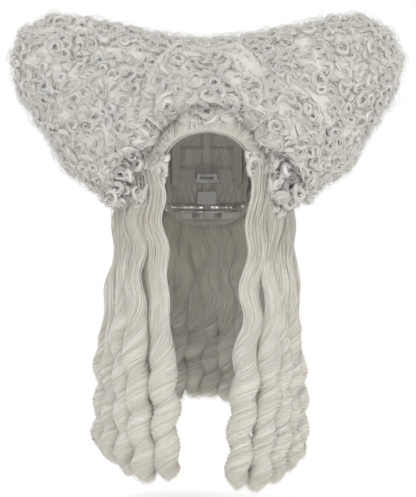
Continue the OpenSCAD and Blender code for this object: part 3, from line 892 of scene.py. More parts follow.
class CurlField:
    """One panel of the dressed hair: under-hair, ring curls and loose wisps."""

    DRAWN_IN = 7 * MM        # how far the under-hair lies under the panel's surface
    MESH = 7 * MM            # length of its edges
    ROUGH = (9 * MM, 2.2 * MM)       # breadth and height of its lumps
    PATCH = 6 * MM           # breadth of its light and dark patches
    SHARE = 0.45             # most of the way through the panel that it is drawn in
    LOCK_POINTS = 12_857     # most points along the locks, and along the strands, of one piece
    CURL_POINTS = 30_000
    WISP_SPACING = 5.2 * MM
    WISP_RADIUS = (5 * MM, 13 * MM)
    WISP_ARC = (1.6, 4.2)    # radians
    WISP_PROUD = (-1 * MM, 6 * MM)   # how far out of the surface a wisp stands
    WISP_LEAN = 3 * MM
    WISP_WIDTH = 0.5 * MM

    def __init__(self, node: str, surface: HairSurface, style: CurlStyle, spacing: float, cap: CapShape,
                 seed: int) -> None:
        """Keeps the panel's CAD node, the shared surface, and the curls' sizes and spacing."""
        self.node, self.surface, self.style, self.spacing, self.cap = node, surface, style, spacing, cap
        self.rng = np.random.default_rng(seed)
        self.extra = (np.zeros((0, 3)), np.zeros((0, 3)))

    def add_over(self, azimuth: Array, polar: Array, out: Array) -> None:
        """Adds curls at points round the head, besides those on the panel.

        Args:
            azimuth: degrees from the forehead.
            polar: degrees down from the crown.
            out: distances outside the cap.
        """
        spot = self.cap.at(azimuth, polar, out)
        self.add_at(spot, unit(spot))

    def add_at(self, spot: Array, normal: Array) -> None:
        """Adds curls at points (n, 3) with the unit normals (n, 3)."""
        self.extra = (np.concatenate([self.extra[0], spot]), np.concatenate([self.extra[1], normal]))

    def curls(self) -> tuple[Strands, Strands]:
        """Coils one ring curl at each point.

        Returns:
            The curls' locks, and the strands over them.
        """
        s, rng = self.style, self.rng
        spot, normal = self.surface.spread(self.node, self.spacing, rng)
        spot = np.concatenate([spot, self.extra[0]])
        normal = np.concatenate([normal, self.extra[1]])
        n, k = len(spot), s.steps
        radius = rng.uniform(*s.radius, n)
        tilt = np.radians(rng.uniform(*s.tilt, n))
        e1, _ = across(normal, rng)
        axis = unit(normal * np.cos(tilt)[:, None] + e1 * np.sin(tilt)[:, None])
        a1, a2 = across(axis, rng)
        lift = rng.uniform(*s.lift, n)
        down = radius * np.sin(tilt) + lift * 0.5 * np.cos(tilt) + s.sink
        centre = spot - normal * down[:, None]
        t = np.linspace(0, 1, k)
        turns = rng.uniform(*s.turns, n) * rng.choice([-1, 1], n)
        start = rng.uniform(0, TURN, n)
        tone = np.clip(rng.normal(*s.tone[:2], n), 0, 1)
        fat = rng.uniform(*s.fat, n)
        skew = rng.uniform(0, TURN, n)
        sets = []
        for m in (1, s.strands):
            core = m == 1
            spread = 0.0 if core else 1.0
            reach = 1.0 - spread * rng.uniform(*s.short, (n, m))
            turn = (start[:, None] + spread * rng.normal(0, s.start, (n, m)))[..., None] + TURN * (
                turns[:, None] * reach)[..., None] * t
            plump = fat[:, None, None] * np.sin(math.pi * np.clip(0.12 + 0.8 * t, 0, 1)) ** 0.6
            around = rng.uniform(0, TURN, (n, m, 1)) + rng.normal(0, s.wander, (n, m, 1)) * t
            loose = spread * s.frizz * (0.4 + t)
            fray = [loose * np.sin(rng.uniform(*s.waves, (n, m, 1)) * t + rng.uniform(0, TURN, (n, m, 1)))
                    for _ in range(2)]
            proud = spread * (s.stray[0] + rng.uniform(0, s.stray[1], (n, m, 1)) ** 1.5)
            oval = (1 + s.uneven * np.sin(2 * turn + skew[:, None, None])
                    + s.uneven * 0.5 * np.sin(3.3 * turn))
            r = radius[:, None, None] * (1 - s.close * t) * oval
            r = r + np.cos(around) * proud * s.lock[1] * plump + fray[0]
            rise = lift[:, None, None] * (t - 0.5) + np.sin(around) * proud * s.lock[0] * plump + fray[1]
            ring = a1[:, None, None] * np.cos(turn)[..., None] + a2[:, None, None] * np.sin(turn)[..., None]
            path = centre[:, None, None] + ring * r[..., None] + axis[:, None, None] * rise[..., None]
            lead = np.clip(1 - t / s.lead[0], 0, 1) ** 2 * s.lead[1]
            path = self.cap.clear(path - normal[:, None, None] * lead[None, None, :, None])
            facing = ring
            if core:
                wide, deep = plump * s.lock[0], plump * s.lock[1]
            else:
                taper = np.clip(1.15 - 0.75 * t ** 3, 0.1, 1) * np.clip(0.25 + (1 - t) * 6, 0, 1)
                size = rng.uniform(*s.thick, (n, m, 1)) * taper
                wide, deep = size * s.width, size * s.depth
                facing = ring * np.cos(around)[..., None] + axis[:, None, None] * np.sin(around)[..., None]
            own = np.clip(tone[:, None] + spread * rng.normal(0, s.tone[2], (n, m)), 0, 1)
            outward = np.broadcast_to(normal[:, None, None], path.shape)
            sets += [Strands(path.reshape(n * m, k, 3), facing.reshape(n * m, k, 3), wide.reshape(n * m, k),
                             deep.reshape(n * m, k), own.reshape(-1), outward.reshape(n * m, k, 3))]
        return sets[0], sets[1]

    def wisps(self) -> Strands:
        """Loose single hairs that stand a little off the curls.

        Returns:
            The hairs.
        """
        rng = self.rng
        spot, normal = self.surface.spread(self.node, self.WISP_SPACING, rng)
        n, k = len(spot), 12
        t = np.linspace(0, 1, k)[None, :, None]
        e1, e2 = across(normal, rng)
        r = rng.uniform(*self.WISP_RADIUS, n)[:, None, None]
        arc = rng.uniform(*self.WISP_ARC, n)[:, None, None]
        proud = rng.uniform(*self.WISP_PROUD, n)[:, None, None]
        lean = rng.normal(0, self.WISP_LEAN, n)[:, None, None]
        turn = arc * t
        path = (spot[:, None] + normal[:, None] * (proud - r + r * np.sin(turn))
                + e1[:, None] * (r * (1 - np.cos(turn)) - r) + e2[:, None] * lean * t)
        wide = np.broadcast_to(self.WISP_WIDTH * np.clip(1.1 - t[..., 0] ** 2, 0.25, 1), (n, k))
        facing = np.broadcast_to(e2[:, None], path.shape)
        outward = np.broadcast_to(normal[:, None], path.shape)
        return Strands(path, facing, wide, wide, rng.uniform(0, 0.5, n), outward)

    def under(self, material: bpy.types.Material) -> bpy.types.Object:
        """The fluffed hair under the curls: the panel drawn in and roughened.

        Args:
            material: its finish.

        Returns:
            The object.
        """
        rng = self.rng
        points, faces = triangles(frame["nodes"][self.node])
        points, faces = refine(points, faces, self.MESH)
        tri = points[faces]
        cross = np.cross(tri[:, 1] - tri[:, 0], tri[:, 2] - tri[:, 0])
        cross = cross * self.surface.shows(tri.mean(1), unit(cross))[:, None]
        total = np.zeros_like(points)
        for i in range(3):
            np.add.at(total, faces[:, i], cross)
        moves = np.linalg.norm(total, axis=1) > 1e-9
        inward = -unit(total)
        rough = lumps(points, self.ROUGH[0], rng) * self.ROUGH[1]
        draw = np.where(moves, self.DRAWN_IN + rough, 0.0)
        for i in np.flatnonzero(moves):
            hit = self.surface.inside.ray_cast(Vector(points[i]), Vector(inward[i]))
            if hit[0] is not None:
                draw[i] = min(draw[i], hit[3] * self.SHARE)
        obj = mesh_object(self.node + "_under", points + inward * draw[:, None], faces.reshape(-1),
                          np.full(len(faces), 3))
        tone = np.clip(0.45 + 0.4 * lumps(points, self.PATCH, rng), 0, 1)
        store(obj, tone=tone, along=np.full(len(points), 0.3), grain=points, outward=unit(points))
        obj.data.materials.append(material)
        return obj

    def build(self, finishes: Finishes) -> None:
        """Builds the panel's pieces and puts them in place of the CAD node.

        Args:
            finishes: the wig's materials.
        """
        place(self.under(finishes.under), "root", "curled_hair")
        locks, curls = self.curls()
        for name, strands, finish, most in (
                (self.node + "_locks", locks, finishes.lock, self.LOCK_POINTS),
                (self.node, curls, finishes.curls, self.CURL_POINTS)):
            parts = math.ceil(len(strands.path) * strands.path.shape[1] / most)
            for i in range(parts):
                fibres = Fibres(f"{name}_{i + 1}", self.rng, [strands.some(slice(i, None, parts))])
                obj = place(fibres.build(finish), "root", "curled_hair")
                if name == self.node and i == 0:
                    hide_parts(self.node)
        loose = Fibres(self.node + "_wisps", self.rng, [self.wisps()])
        place(loose.build(finishes.curls), "root", "curled_hair")


def place(obj: bpy.types.Object, body: str, slot: str) -> bpy.types.Object:
    """Makes a piece ride on a CAD body.

    Args:
        obj: the piece.
        body: CAD body.
        slot: not used.

    Returns:
        The piece.
    """
    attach(obj, body)
    return obj


def refine(points: Array, faces: Array, longest: float) -> tuple[Array, Array]:
    """Splits triangles, each into four, until edges are short.

    Args:
        points: vertices.
        faces: triangles.
        longest: edge length at which splitting stops, taken over the median edge.

    Returns:
        New vertices and triangles.
    """
    for _ in range(4):
        edge = np.linalg.norm(points[faces[:, 0]] - points[faces[:, 1]], axis=1)
        if np.median(edge) < longest:
            break
        pairs = np.sort(np.concatenate([faces[:, [0, 1]], faces[:, [1, 2]], faces[:, [2, 0]]]), axis=1)
        unique, where = np.unique(pairs, axis=0, return_inverse=True)
        middle = len(points) + where.reshape(3, -1)
        points = np.concatenate([points, points[unique].mean(1)])
        a, b, c = faces.T
        ab, bc, ca = middle
        quarters = ((a, ab, ca), (ab, b, bc), (ca, bc, c), (ab, bc, ca))
        faces = np.concatenate([np.stack(t, -1) for t in quarters])
    return points, faces


def smooth_step(share: Array) -> Array:
    """Eases from 0 to 1 as the share goes from 0 to 1."""
    share = np.clip(share, 0, 1)
    return share * share * (3 - 2 * share)


def lumps(points: Array, size: float, rng: np.random.Generator) -> Array:
    """Smooth random lumps between about -1 and 1.

    Args:
        points: where to read them, (n, 3).
        size: breadth of a lump.
        rng: random numbers.

    Returns:
        One value per point.
    """
    ways = rng.normal(size=(10, 3)) / size * 1.4
    shift = rng.uniform(0, TURN, 10)
    return np.sin(points @ ways.T + shift).sum(1) / 4


# ---- ringlets ----

@dataclass
class RingletStyle:
    """Sizes of a hanging lock: a wavy tress above and a fat twisted barrel curl below."""

    strands: int = 135
    steps: int = 80
    tress: Pair = (19 * MM, 8.5 * MM)  # half sizes of the tress, round the head and out from it
    pitch: Pair = (70 * MM, 44 * MM)  # length of one turn, where the twist starts and at the tip
    twist_from: Pair = (0.30, 0.52)   # share of the length where the twist sets in
    crease: float = 0.27              # depth of the groove between turns, against the radius
    swell: float = 0.07               # how far the section stands off the axis, the same way
    wave: float = 4.5 * MM            # how far the tress waves above the barrel
    wave_pitch: float = 78 * MM
    belly: Pair = (15 * MM, 8 * MM)   # how far those over the right and left ear bow outwards
    flare: Pair = (13 * MM, 16 * MM)  # how far out and up loose strands start above the root
    coil: float = 1.30                # radius of the barrel against the CAD cone's
    strand_width: float = 1.05 * MM
    strand_depth: float = 0.65 * MM
    frizz: float = 0.8 * MM
    flyaway: Pair = (0.2, 3.2)        # share of looser strands, and how much more they frizz
    lifted: float = 0.4               # share of strands that start loose above the root
    fray: Pair = (0.92, 2.4 * MM)     # share of the length where the tip frays, and how far
    end_from: float = 0.93            # share of the length where the tip rounds off
    bow: float = 2.2 * MM             # spread of the ringlets' bows to the side and out
    pitches: Pair = (0.85, 1.15)      # from ringlet to ringlet, against the style's
    sizes: Pair = (0.92, 1.1)
    rates: Pair = (0.7, 1.25)         # of the tress's waves
    core_steps: int = 140
    core_sides: int = 34
    core_inset: float = 0.4 * MM


class Ringlet:
    """One hanging ringlet, which replaces its CAD cone and swings with it."""

    BY_EAR = 50 * MM         # roots nearer than this to the ears, front to back, bow outwards
    FINE = 400               # steps over which the turns are added up

    def __init__(self, node: str, style: RingletStyle, seed: int) -> None:
        """Reads where the CAD cone hangs and starts the ringlet's random numbers."""
        self.node, self.style, self.rng = node, style, np.random.default_rng(seed)
        joint = next(j for j in frame["joints"] if j["child"] == node)
        self.root = np.array(joint["pos_m"], float)
        points, _ = triangles(frame["nodes"][node])
        away = np.linalg.norm(points - self.root, axis=1)
        self.tip = points[away > away.max() - 0.2 * MM].mean(0)
        self.length = float(np.linalg.norm(self.tip - self.root))
        self.axis = (self.tip - self.root) / self.length
        rim = points - self.root
        rim = rim - np.outer(rim @ self.axis, self.axis)
        self.radius = float(np.linalg.norm(rim, axis=1).max())
        self.front = unit(np.array([0.0, -1.0, 0.0]) - self.axis * -self.axis[1])
        self.side = np.cross(self.axis, self.front)
        self.outward = unit(np.array([self.root[0], self.root[1], 0.0]))
        self.around = np.cross(self.outward, np.array([0.0, 0.0, 1.0]))
        self.start_turn = self.rng.uniform(0, TURN)
        self.twist_from = self.rng.uniform(*style.twist_from)
        self.bow = self.rng.normal(0, style.bow, 2)
        self.belly = style.belly[int(self.root[0] > 0)] if abs(self.root[1]) < self.BY_EAR else 0.0
        self.pitch = self.rng.uniform(*style.pitches)
        self.size = self.rng.uniform(*style.sizes)
        self.rate = self.rng.uniform(*style.rates)

    def spine(self, t: Array) -> dict[str, Array]:
        """The lock's changing sizes from root to tip.

        Args:
            t: shares of the length.

        Returns:
            Arrays over t: centre, turn (of the groove about the axis), low (how far it is a barrel) and
            radius.
        """
        s = self.style
        fine = np.linspace(0, 1, self.FINE)
        pitch = self.pitch * (s.pitch[0] + (s.pitch[1] - s.pitch[0]) * np.clip((fine - 0.3) / 0.45, 0, 1))
        ramp = smooth_step((fine - self.twist_from) / 0.25)
        turns = np.cumsum(self.length / pitch * ramp) / self.FINE
        turn = self.start_turn + TURN * np.interp(t, fine, turns)
        low = smooth_step((t - self.twist_from + 0.05) / 0.32)
        wave = s.wave * np.clip(t / 0.12, 0, 1) * (1 - 0.7 * low)
        ripple = self.length / s.wave_pitch * self.rate * TURN * t + self.start_turn * 2
        radius = self.radius * s.coil * self.size * (1 + 0.06 * np.sin(TURN * 2.3 * t + self.start_turn))
        radius = radius * (0.88 + 0.12 * low)
        off = unit(np.cos(turn)[:, None] * self.front + np.sin(turn)[:, None] * self.side)
        centre = (self.root + self.axis * (self.length * t)[:, None]
                  - off * (low * radius * s.swell)[:, None]
                  + self.outward * (self.belly * np.sin(math.pi * t ** 0.8))[:, None]
                  + self.around * (wave * np.sin(ripple) + self.bow[0] * np.sin(math.pi * t))[:, None]
                  + self.outward * (wave * 0.6 * np.cos(ripple * 0.8)
                                    + self.bow[1] * np.sin(TURN * t))[:, None])
        return {"centre": centre, "turn": turn, "low": low, "radius": radius}

    def surface(self, t: Array, beta: Array, proud: Array | float) -> tuple[Array, Array]:
        """Points on the lock.

        Args:
            t: shares of the length, (k,).
            beta: angle from the groove, which the hair follows, (..., k) or broadcast to it.
            proud: distance outside the surface.

        Returns:
            Points and the ways out from the axis, (..., k, 3).
        """
        s = self.style
        spine = self.spine(t)
        low, radius = spine["low"], spine["radius"]
        deep = s.crease * (0.25 + 0.75 * low) * (1 - np.abs(np.sin(beta / 2)) ** 0.75)
        over = np.clip(t - s.end_from, 0, 1) / 0.07
        end = np.sqrt(np.clip(1 - over ** 2, 0.03, 1)) * np.clip(0.8 + t / 0.1, 0, 1)
        r = radius * (1 - deep) * end + proud
        theta = spine["turn"] + beta
        tall = s.tress[0] / self.radius / s.coil * (1 - low) + low
        thin = s.tress[1] / self.radius / s.coil * (1 - low) + low
        way = (np.cos(theta)[..., None] * self.front + np.sin(theta)[..., None] * self.side)
        sideways = way @ self.around
        way = way + (self.around * (sideways * (tall - 1))[..., None]
                     + self.outward * ((way @ self.outward) * (thin - 1))[..., None])
        return spine["centre"] + way * r[..., None], unit(way)

    def core(self) -> Strands:
        """The body of the lock, one closed form with a groove winding round it.

        Returns:
            The body, as one strand.
        """
        t = np.linspace(0, 1, self.style.core_steps)
        sides = self.style.core_sides
        beta = TURN * np.arange(sides)[:, None] / sides
        skin, _ = self.surface(t, np.broadcast_to(beta, (sides, len(t))), -self.style.core_inset)
        centre = self.spine(t)["centre"][None]
        section = np.swapaxes(skin, 0, 1)[None]
        flat = np.zeros((1, len(t)))
        return FluteBody(centre, centre, flat, flat, np.array([0.4]), np.zeros_like(centre), sides=sides,
                         section=section)

    def strands(self) -> Strands:
        """Strands laid over the body of the lock, along its turns.

        Returns:
            The strands.
        """
        s, rng = self.style, self.rng
        n, k = s.strands, s.steps
        t = np.linspace(0, 1, k)
        fly = np.where(rng.uniform(size=(n, 1)) < s.flyaway[0], s.flyaway[1], 1.0)
        wander = 0.16 * np.sin(rng.uniform(4, 12, (n, 1)) * t + rng.uniform(0, TURN, (n, 1)))
        beta = rng.uniform(0, TURN, (n, 1)) + wander + rng.normal(0, 0.35, (n, 1)) * t
        frizz = s.frizz * fly * (0.3 + t)
        ripple = rng.uniform(14, 40, (n, 1)) * t + rng.uniform(0, TURN, (n, 1))
        proud = frizz * np.abs(np.sin(ripple)) * 0.8
        path, facing = self.surface(t, beta, proud - 0.1 * MM)
        fray = np.clip((t - s.fray[0]) / 0.08, 0, 1) ** 1.5
        splay = (rng.normal(0, s.fray[1], (3, n, 1)) * fray)[..., None]
        path = path + facing * splay[0] + self.around * splay[1] + self.axis * splay[2]
        taper = np.clip(0.5 + t * 10, 0, 1) * np.clip(0.25 + (1 - t) * 9, 0, 1)
        wide = rng.uniform(0.7, 1.3, (n, 1)) * taper / np.sqrt(fly)
        tone = np.clip(rng.normal(0.35, 0.25, n), 0, 1)
        lift = smooth_step(1 - t / 0.38)
        flare = np.where(rng.uniform(size=(n, 1)) < s.lifted, rng.uniform(0, 1, (n, 1)), 0.0)
        path = path + self.outward * (flare * s.flare[0] * lift)[..., None]
        path = path + np.array([0, 0, 1.0]) * (flare * s.flare[1] * smooth_step(1 - t / 0.16))[..., None]
        return Strands(path, facing, wide * s.strand_width, wide * s.strand_depth, tone, facing)

    def build(self, finishes: Finishes) -> None:
        """Builds the ringlet in place of its CAD node.

        Args:
            finishes: the wig's materials.
        """
        # the body of the lock takes the darker finish, painted shade seen in the gaps between the strands
        body = Fibres(self.node + "_core", self.rng, [self.core()])
        place(body.build(finishes.shaded_rope), self.node, "curled_hair")
        fibres = Fibres(self.node + "_strands", self.rng, [self.strands()])
        obj = place(fibres.build(finishes.smooth), self.node, "curled_hair")
        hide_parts(self.node)


# ---- the cap ----

@dataclass
class HairlineRoll:
    """The first row of hair, brushed up over the cap's front edge and back into the curls."""

    cap: CapShape
    reach: float = 52.0               # azimuth of the roll's ends, degrees
    width: float = 15.0               # polar width on the cap, degrees
    height: float = 15 * MM
    rise: float = 1.5 * MM            # least height of a strand over the net
    below: float = 0.8                # how far past the net's edge the strands start, degrees
    lean: Pair = (6.0, 14.0)          # how far strands go sideways: all, and more at the ends, degrees
    ripple: float = 0.35 * MM
    strand: Pair = (1.0 * MM, 0.6 * MM)  # width and depth
    strands: int = 1300
    steps: int = 16
    core_steps: int = 64
    core_width: float = 17 * MM
    seed: int = 71

    def build(self, finishes: Finishes) -> None:
        """Builds the roll in place of its CAD node.

        Args:
            finishes: the wig's materials.
        """
        rng = np.random.default_rng(self.seed)
        each = (self.strands, 1)
        t = np.linspace(0, 1, self.steps)
        th0 = np.linspace(-self.reach, self.reach, self.strands)[:, None] + rng.normal(0, 0.7, each)
        lean = self.lean[0] + np.sign(th0) * self.lean[1] * (np.abs(th0) / self.reach)
        lean = lean + 8 * np.sin(th0 * 0.21) + 5 * np.sin(th0 * 0.49 + 1) + rng.normal(0, 2.5, each)
        th = th0 + lean * t + rng.normal(0, 1.2, each) * t
        ph = self.cap.edge(th) + self.below - self.width * (t ** 1.25) * rng.uniform(0.9, 1.2, each)
        level = rng.uniform(0.72, 1.0, each)
        out = self.rise + self.height * level * np.sin(math.pi * np.clip(t * 0.93 + 0.02, 0, 1)) ** 0.62
        out = out + self.ripple * np.sin(rng.uniform(5, 12, each) * t + rng.uniform(0, 6, each))
        path = self.cap.at(th, ph, out)
        facing = unit(path)
        size = rng.uniform(0.7, 1.25, each) * np.clip(0.4 + t * 8, 0, 1)
        hair = Strands(path, facing, size * self.strand[0], size * self.strand[1],
                       np.clip(rng.normal(0.4, 0.2, self.strands), 0, 1), facing)
        fibres = Fibres("hairline_roll_strands", rng, [hair])
        obj = place(fibres.build(finishes.smooth), "root", "smooth_hair")
        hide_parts("hairline_roll")
        th = np.linspace(-self.reach, self.reach, self.core_steps)
        ph = self.cap.edge(th) - self.width * 0.45
        centre = self.cap.at(th, ph, self.height * 0.42)[None]
        facing = unit(centre)
        ends = np.clip(1.02 - (np.abs(th) / self.reach) ** 8, 0.2, 1)[None]
        core = Strands(centre, facing, self.core_width * ends, self.height * 0.95 * ends, np.array([0.4]),
                       facing, sides=20)
        # the roll's core takes the same darker finish, painted shade under the strands
        place(Fibres("hairline_roll_core", rng, [core]).build(finishes.shaded_rope), "root", "smooth_hair")


@dataclass
class LaceNet:
    """The cap's stretch lace: two sets of slanting threads that cross, and a rolled edge."""

    cap: CapShape
    lines: int = 120
    slant: float = 36.0               # how far a thread turns round the head from top to edge, degrees
    steps: int = 34
    thread: float = 0.42 * MM
    tops: tuple[float, ...] = (4.0, 46.0, 22.0, 46.0)  # polar angles where threads start, in turn, degrees
    weave: float = 0.13 * MM          # how far crossing threads go over and under each other
    out: float = 0.4 * MM             # middle of the net's thickness over its inner face
    rim: float = 1.5 * MM
    seed: int = 31

    def build(self, finishes: Finishes) -> None:
        """Builds the net in place of its CAD node.

        Args:
            finishes: the wig's materials.
        """
        rng = np.random.default_rng(self.seed)
        t = np.linspace(0, 1, self.steps)
        net: list[Strands] = []
        number = np.arange(self.lines)
        foot = number * 360 / self.lines
        top = np.array(self.tops)[number % 4][:, None]
        for hand in (-1, 1):
            azimuth = foot[:, None] + hand * self.slant * (t - 1)
            polar = top + (self.cap.edge(foot)[:, None] - top) * t
            weave = self.weave * hand * np.cos(math.pi * np.arange(self.steps))
            path = self.cap.at(azimuth, polar, self.out + weave)
            size = np.full(path.shape[:2], self.thread)
            net.append(Strands(path, unit(path), size, size * 0.8, rng.uniform(0, 1, self.lines),
                               unit(path), sides=4))
        turn = np.linspace(-180, 180, 181)
        path = self.cap.at(turn, self.cap.edge(turn), self.out)[None]
        size = np.full(path.shape[:2], self.rim)
        net.append(Strands(path, unit(path), size, size * 0.6, np.array([0.5]), unit(path), sides=8))
        fibres = Fibres("lace_threads", rng, net)
        obj = place(fibres.build(finishes.lace), "root", "net")
        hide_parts("crown_net")


@dataclass
class CapBand:
    """A tape sewn inside the cap's edge, with running stitches along both borders."""

    node: str
    cap: CapShape
    start: float                      # azimuths of its ends, degrees
    end: float
    depth: float = 7.0                # polar width, degrees
    out: float = -1.3 * MM            # middle of its thickness against the net's inner face
    thick: float = 1.0 * MM
    top: float = 180.0                # least polar angle of the upper border when straight, degrees
    stitch: float = 3.0 * MM
    seams: Pair = (0.14, 0.86)        # shares of the width where the stitches run
    thread: float = 0.5 * MM
    dip: float = 0.25 * MM            # how far a stitch's ends dive into the tape
    above: float = 0.12 * MM          # how far its middle stands off
    radius: float = 0.085             # mean radius of the cap's edge
    steps: int = 90
    sides: int = 20
    seed: int = 41

    def borders(self, azimuth: Array) -> tuple[Array, Array]:
        """Polar angles of the upper and the lower border at azimuths in degrees."""
        low = self.cap.edge(azimuth)
        return np.minimum(low - self.depth, self.top), low

    def build(self, finishes: Finishes) -> None:
        """Builds the tape and its stitches in place of the CAD node.

        Args:
            finishes: the wig's materials.
        """
        rng = np.random.default_rng(self.seed)
        th = np.linspace(self.start, self.end, self.steps)
        high, low = self.borders(th)
        turn = TURN * np.arange(self.sides) / self.sides
        flat = np.sign(np.cos(turn)) * np.abs(np.cos(turn)) ** 0.3
        bulge = np.sign(np.sin(turn)) * np.abs(np.sin(turn)) ** 0.7
        middle, half = (low + high) / 2, (low - high) / 2
        skin = self.cap.at(th[:, None], middle[:, None] + half[:, None] * flat,
                           self.out + self.thick / 2 * bulge)
        centre = self.cap.at(th, middle, self.out)[None]
        none = np.zeros((1, len(th)))
        tape = FluteBody(centre, centre, none, none, np.array([0.5]), centre, sides=self.sides,
                         section=skin[None])
        body = Fibres(self.node + "_tape", rng, [tape])
        obj = place(body.build(finishes.tape), "root", "tape")
        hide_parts(self.node)
        arc = abs(math.radians(self.end - self.start)) * self.radius
        count = int(arc / self.stitch)
        pace = (self.end - self.start) / count
        begin = self.start + pace * (np.arange(count) + 0.2)
        t = np.linspace(0, 1, 5)
        seam: list[Strands] = []
        for share in self.seams:
            th = begin[:, None] + pace * 0.62 * t
            high, low = self.borders(th)
            dip = self.dip * np.abs(2 * t - 1) ** 3
            level = self.out - self.thick / 2 - self.above + dip
            path = self.cap.at(th, high + (low - high) * share, level)
            size = np.full(path.shape[:2], self.thread)
            seam.append(Strands(path, -unit(path), size, size * 0.8, rng.uniform(0, 1, count),
                                -unit(path), sides=5))
        place(Fibres(self.node + "_stitches", rng, seam).build(finishes.thread), "root", "tape")


@dataclass
class HairPad:
    """A wad of soft filling under the hair, tied through with thread."""

    node: str
    seed: int
    voxel: float = 4.5 * MM
    shrink: float = 1.2 * MM
    relax: tuple[float, int] = (0.6, 6)  # strength and rounds of the smoothing
    lump: float = 1.0 * MM
    lump_size: float = 11 * MM
    tie_depth: float = 3.5 * MM
    tie_reach: float = 9 * MM
    tie: float = 8 * MM               # length of a stitch of a tie
    ties: int = 26
    thread: float = 0.9 * MM

    def build(self, finishes: Finishes) -> None:
        """Builds the pad in place of its CAD node.

        Args:
            finishes: the wig's materials.
        """
        rng = np.random.default_rng(self.seed)
        points, faces = triangles(frame["nodes"][self.node])
        rough = mesh_object(self.node + "_shape", points, faces.reshape(-1), np.full(len(faces), 3))
        remesh = rough.modifiers.new("even", "REMESH")
        remesh.mode, remesh.voxel_size, remesh.use_smooth_shade = "VOXEL", self.voxel, True
        relax = rough.modifiers.new("relax", "SMOOTH")
        relax.factor, relax.iterations = self.relax
        graph = bpy.context.evaluated_depsgraph_get()
        mesh = bpy.data.meshes.new_from_object(rough.evaluated_get(graph))
        bpy.data.objects.remove(rough)
        at = np.zeros(len(mesh.vertices) * 3, np.float32)
        way = np.zeros(len(mesh.vertices) * 3, np.float32)
        mesh.vertices.foreach_get("co", at)
        mesh.vertices.foreach_get("normal", way)
        at, way = at.reshape(-1, 3).astype(float), way.reshape(-1, 3).astype(float)
        tied = [int(rng.integers(len(at)))]
        far = np.full(len(at), np.inf)
        for _ in range(self.ties - 1):
            far = np.minimum(far, np.linalg.norm(at - at[tied[-1]], axis=1))
            tied.append(int(far.argmax()))
        far = np.minimum(far, np.linalg.norm(at - at[tied[-1]], axis=1))
        push = self.shrink + self.lump * (0.5 + 0.5 * lumps(at, self.lump_size, rng))
        push = push + self.tie_depth * np.exp(-(far / self.tie_reach) ** 2 * 2)
        moved = at - way * push[:, None]
        mesh.vertices.foreach_set("co", moved.astype(np.float32).reshape(-1))
        mesh.materials.clear()
        mesh.materials.append(finishes.foam)
        pad = bpy.data.objects.new(self.node + "_wadding", mesh)
        bpy.context.scene.collection.objects.link(pad)
        place(pad, "root", "foam")
        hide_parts(self.node)
        spot, normal = moved[tied], way[tied]
        e1, e2 = across(normal, rng)
        t = np.linspace(-1, 1, 7)
        knots: list[Strands] = []
        for e in (e1, e2):
            path = (spot[:, None] + e[:, None] * (t * self.tie / 2)[None, :, None]
                    + normal[:, None] * (0.2 * MM + self.thread * t ** 2)[None, :, None])
            size = np.full(path.shape[:2], self.thread)
            facing = np.broadcast_to(normal[:, None], path.shape)
            knots.append(Strands(path, facing, size, size, np.full(len(spot), 0.5), facing, sides=6))
        place(Fibres(self.node + "_ties", rng, knots).build(finishes.thread), "root", "foam")


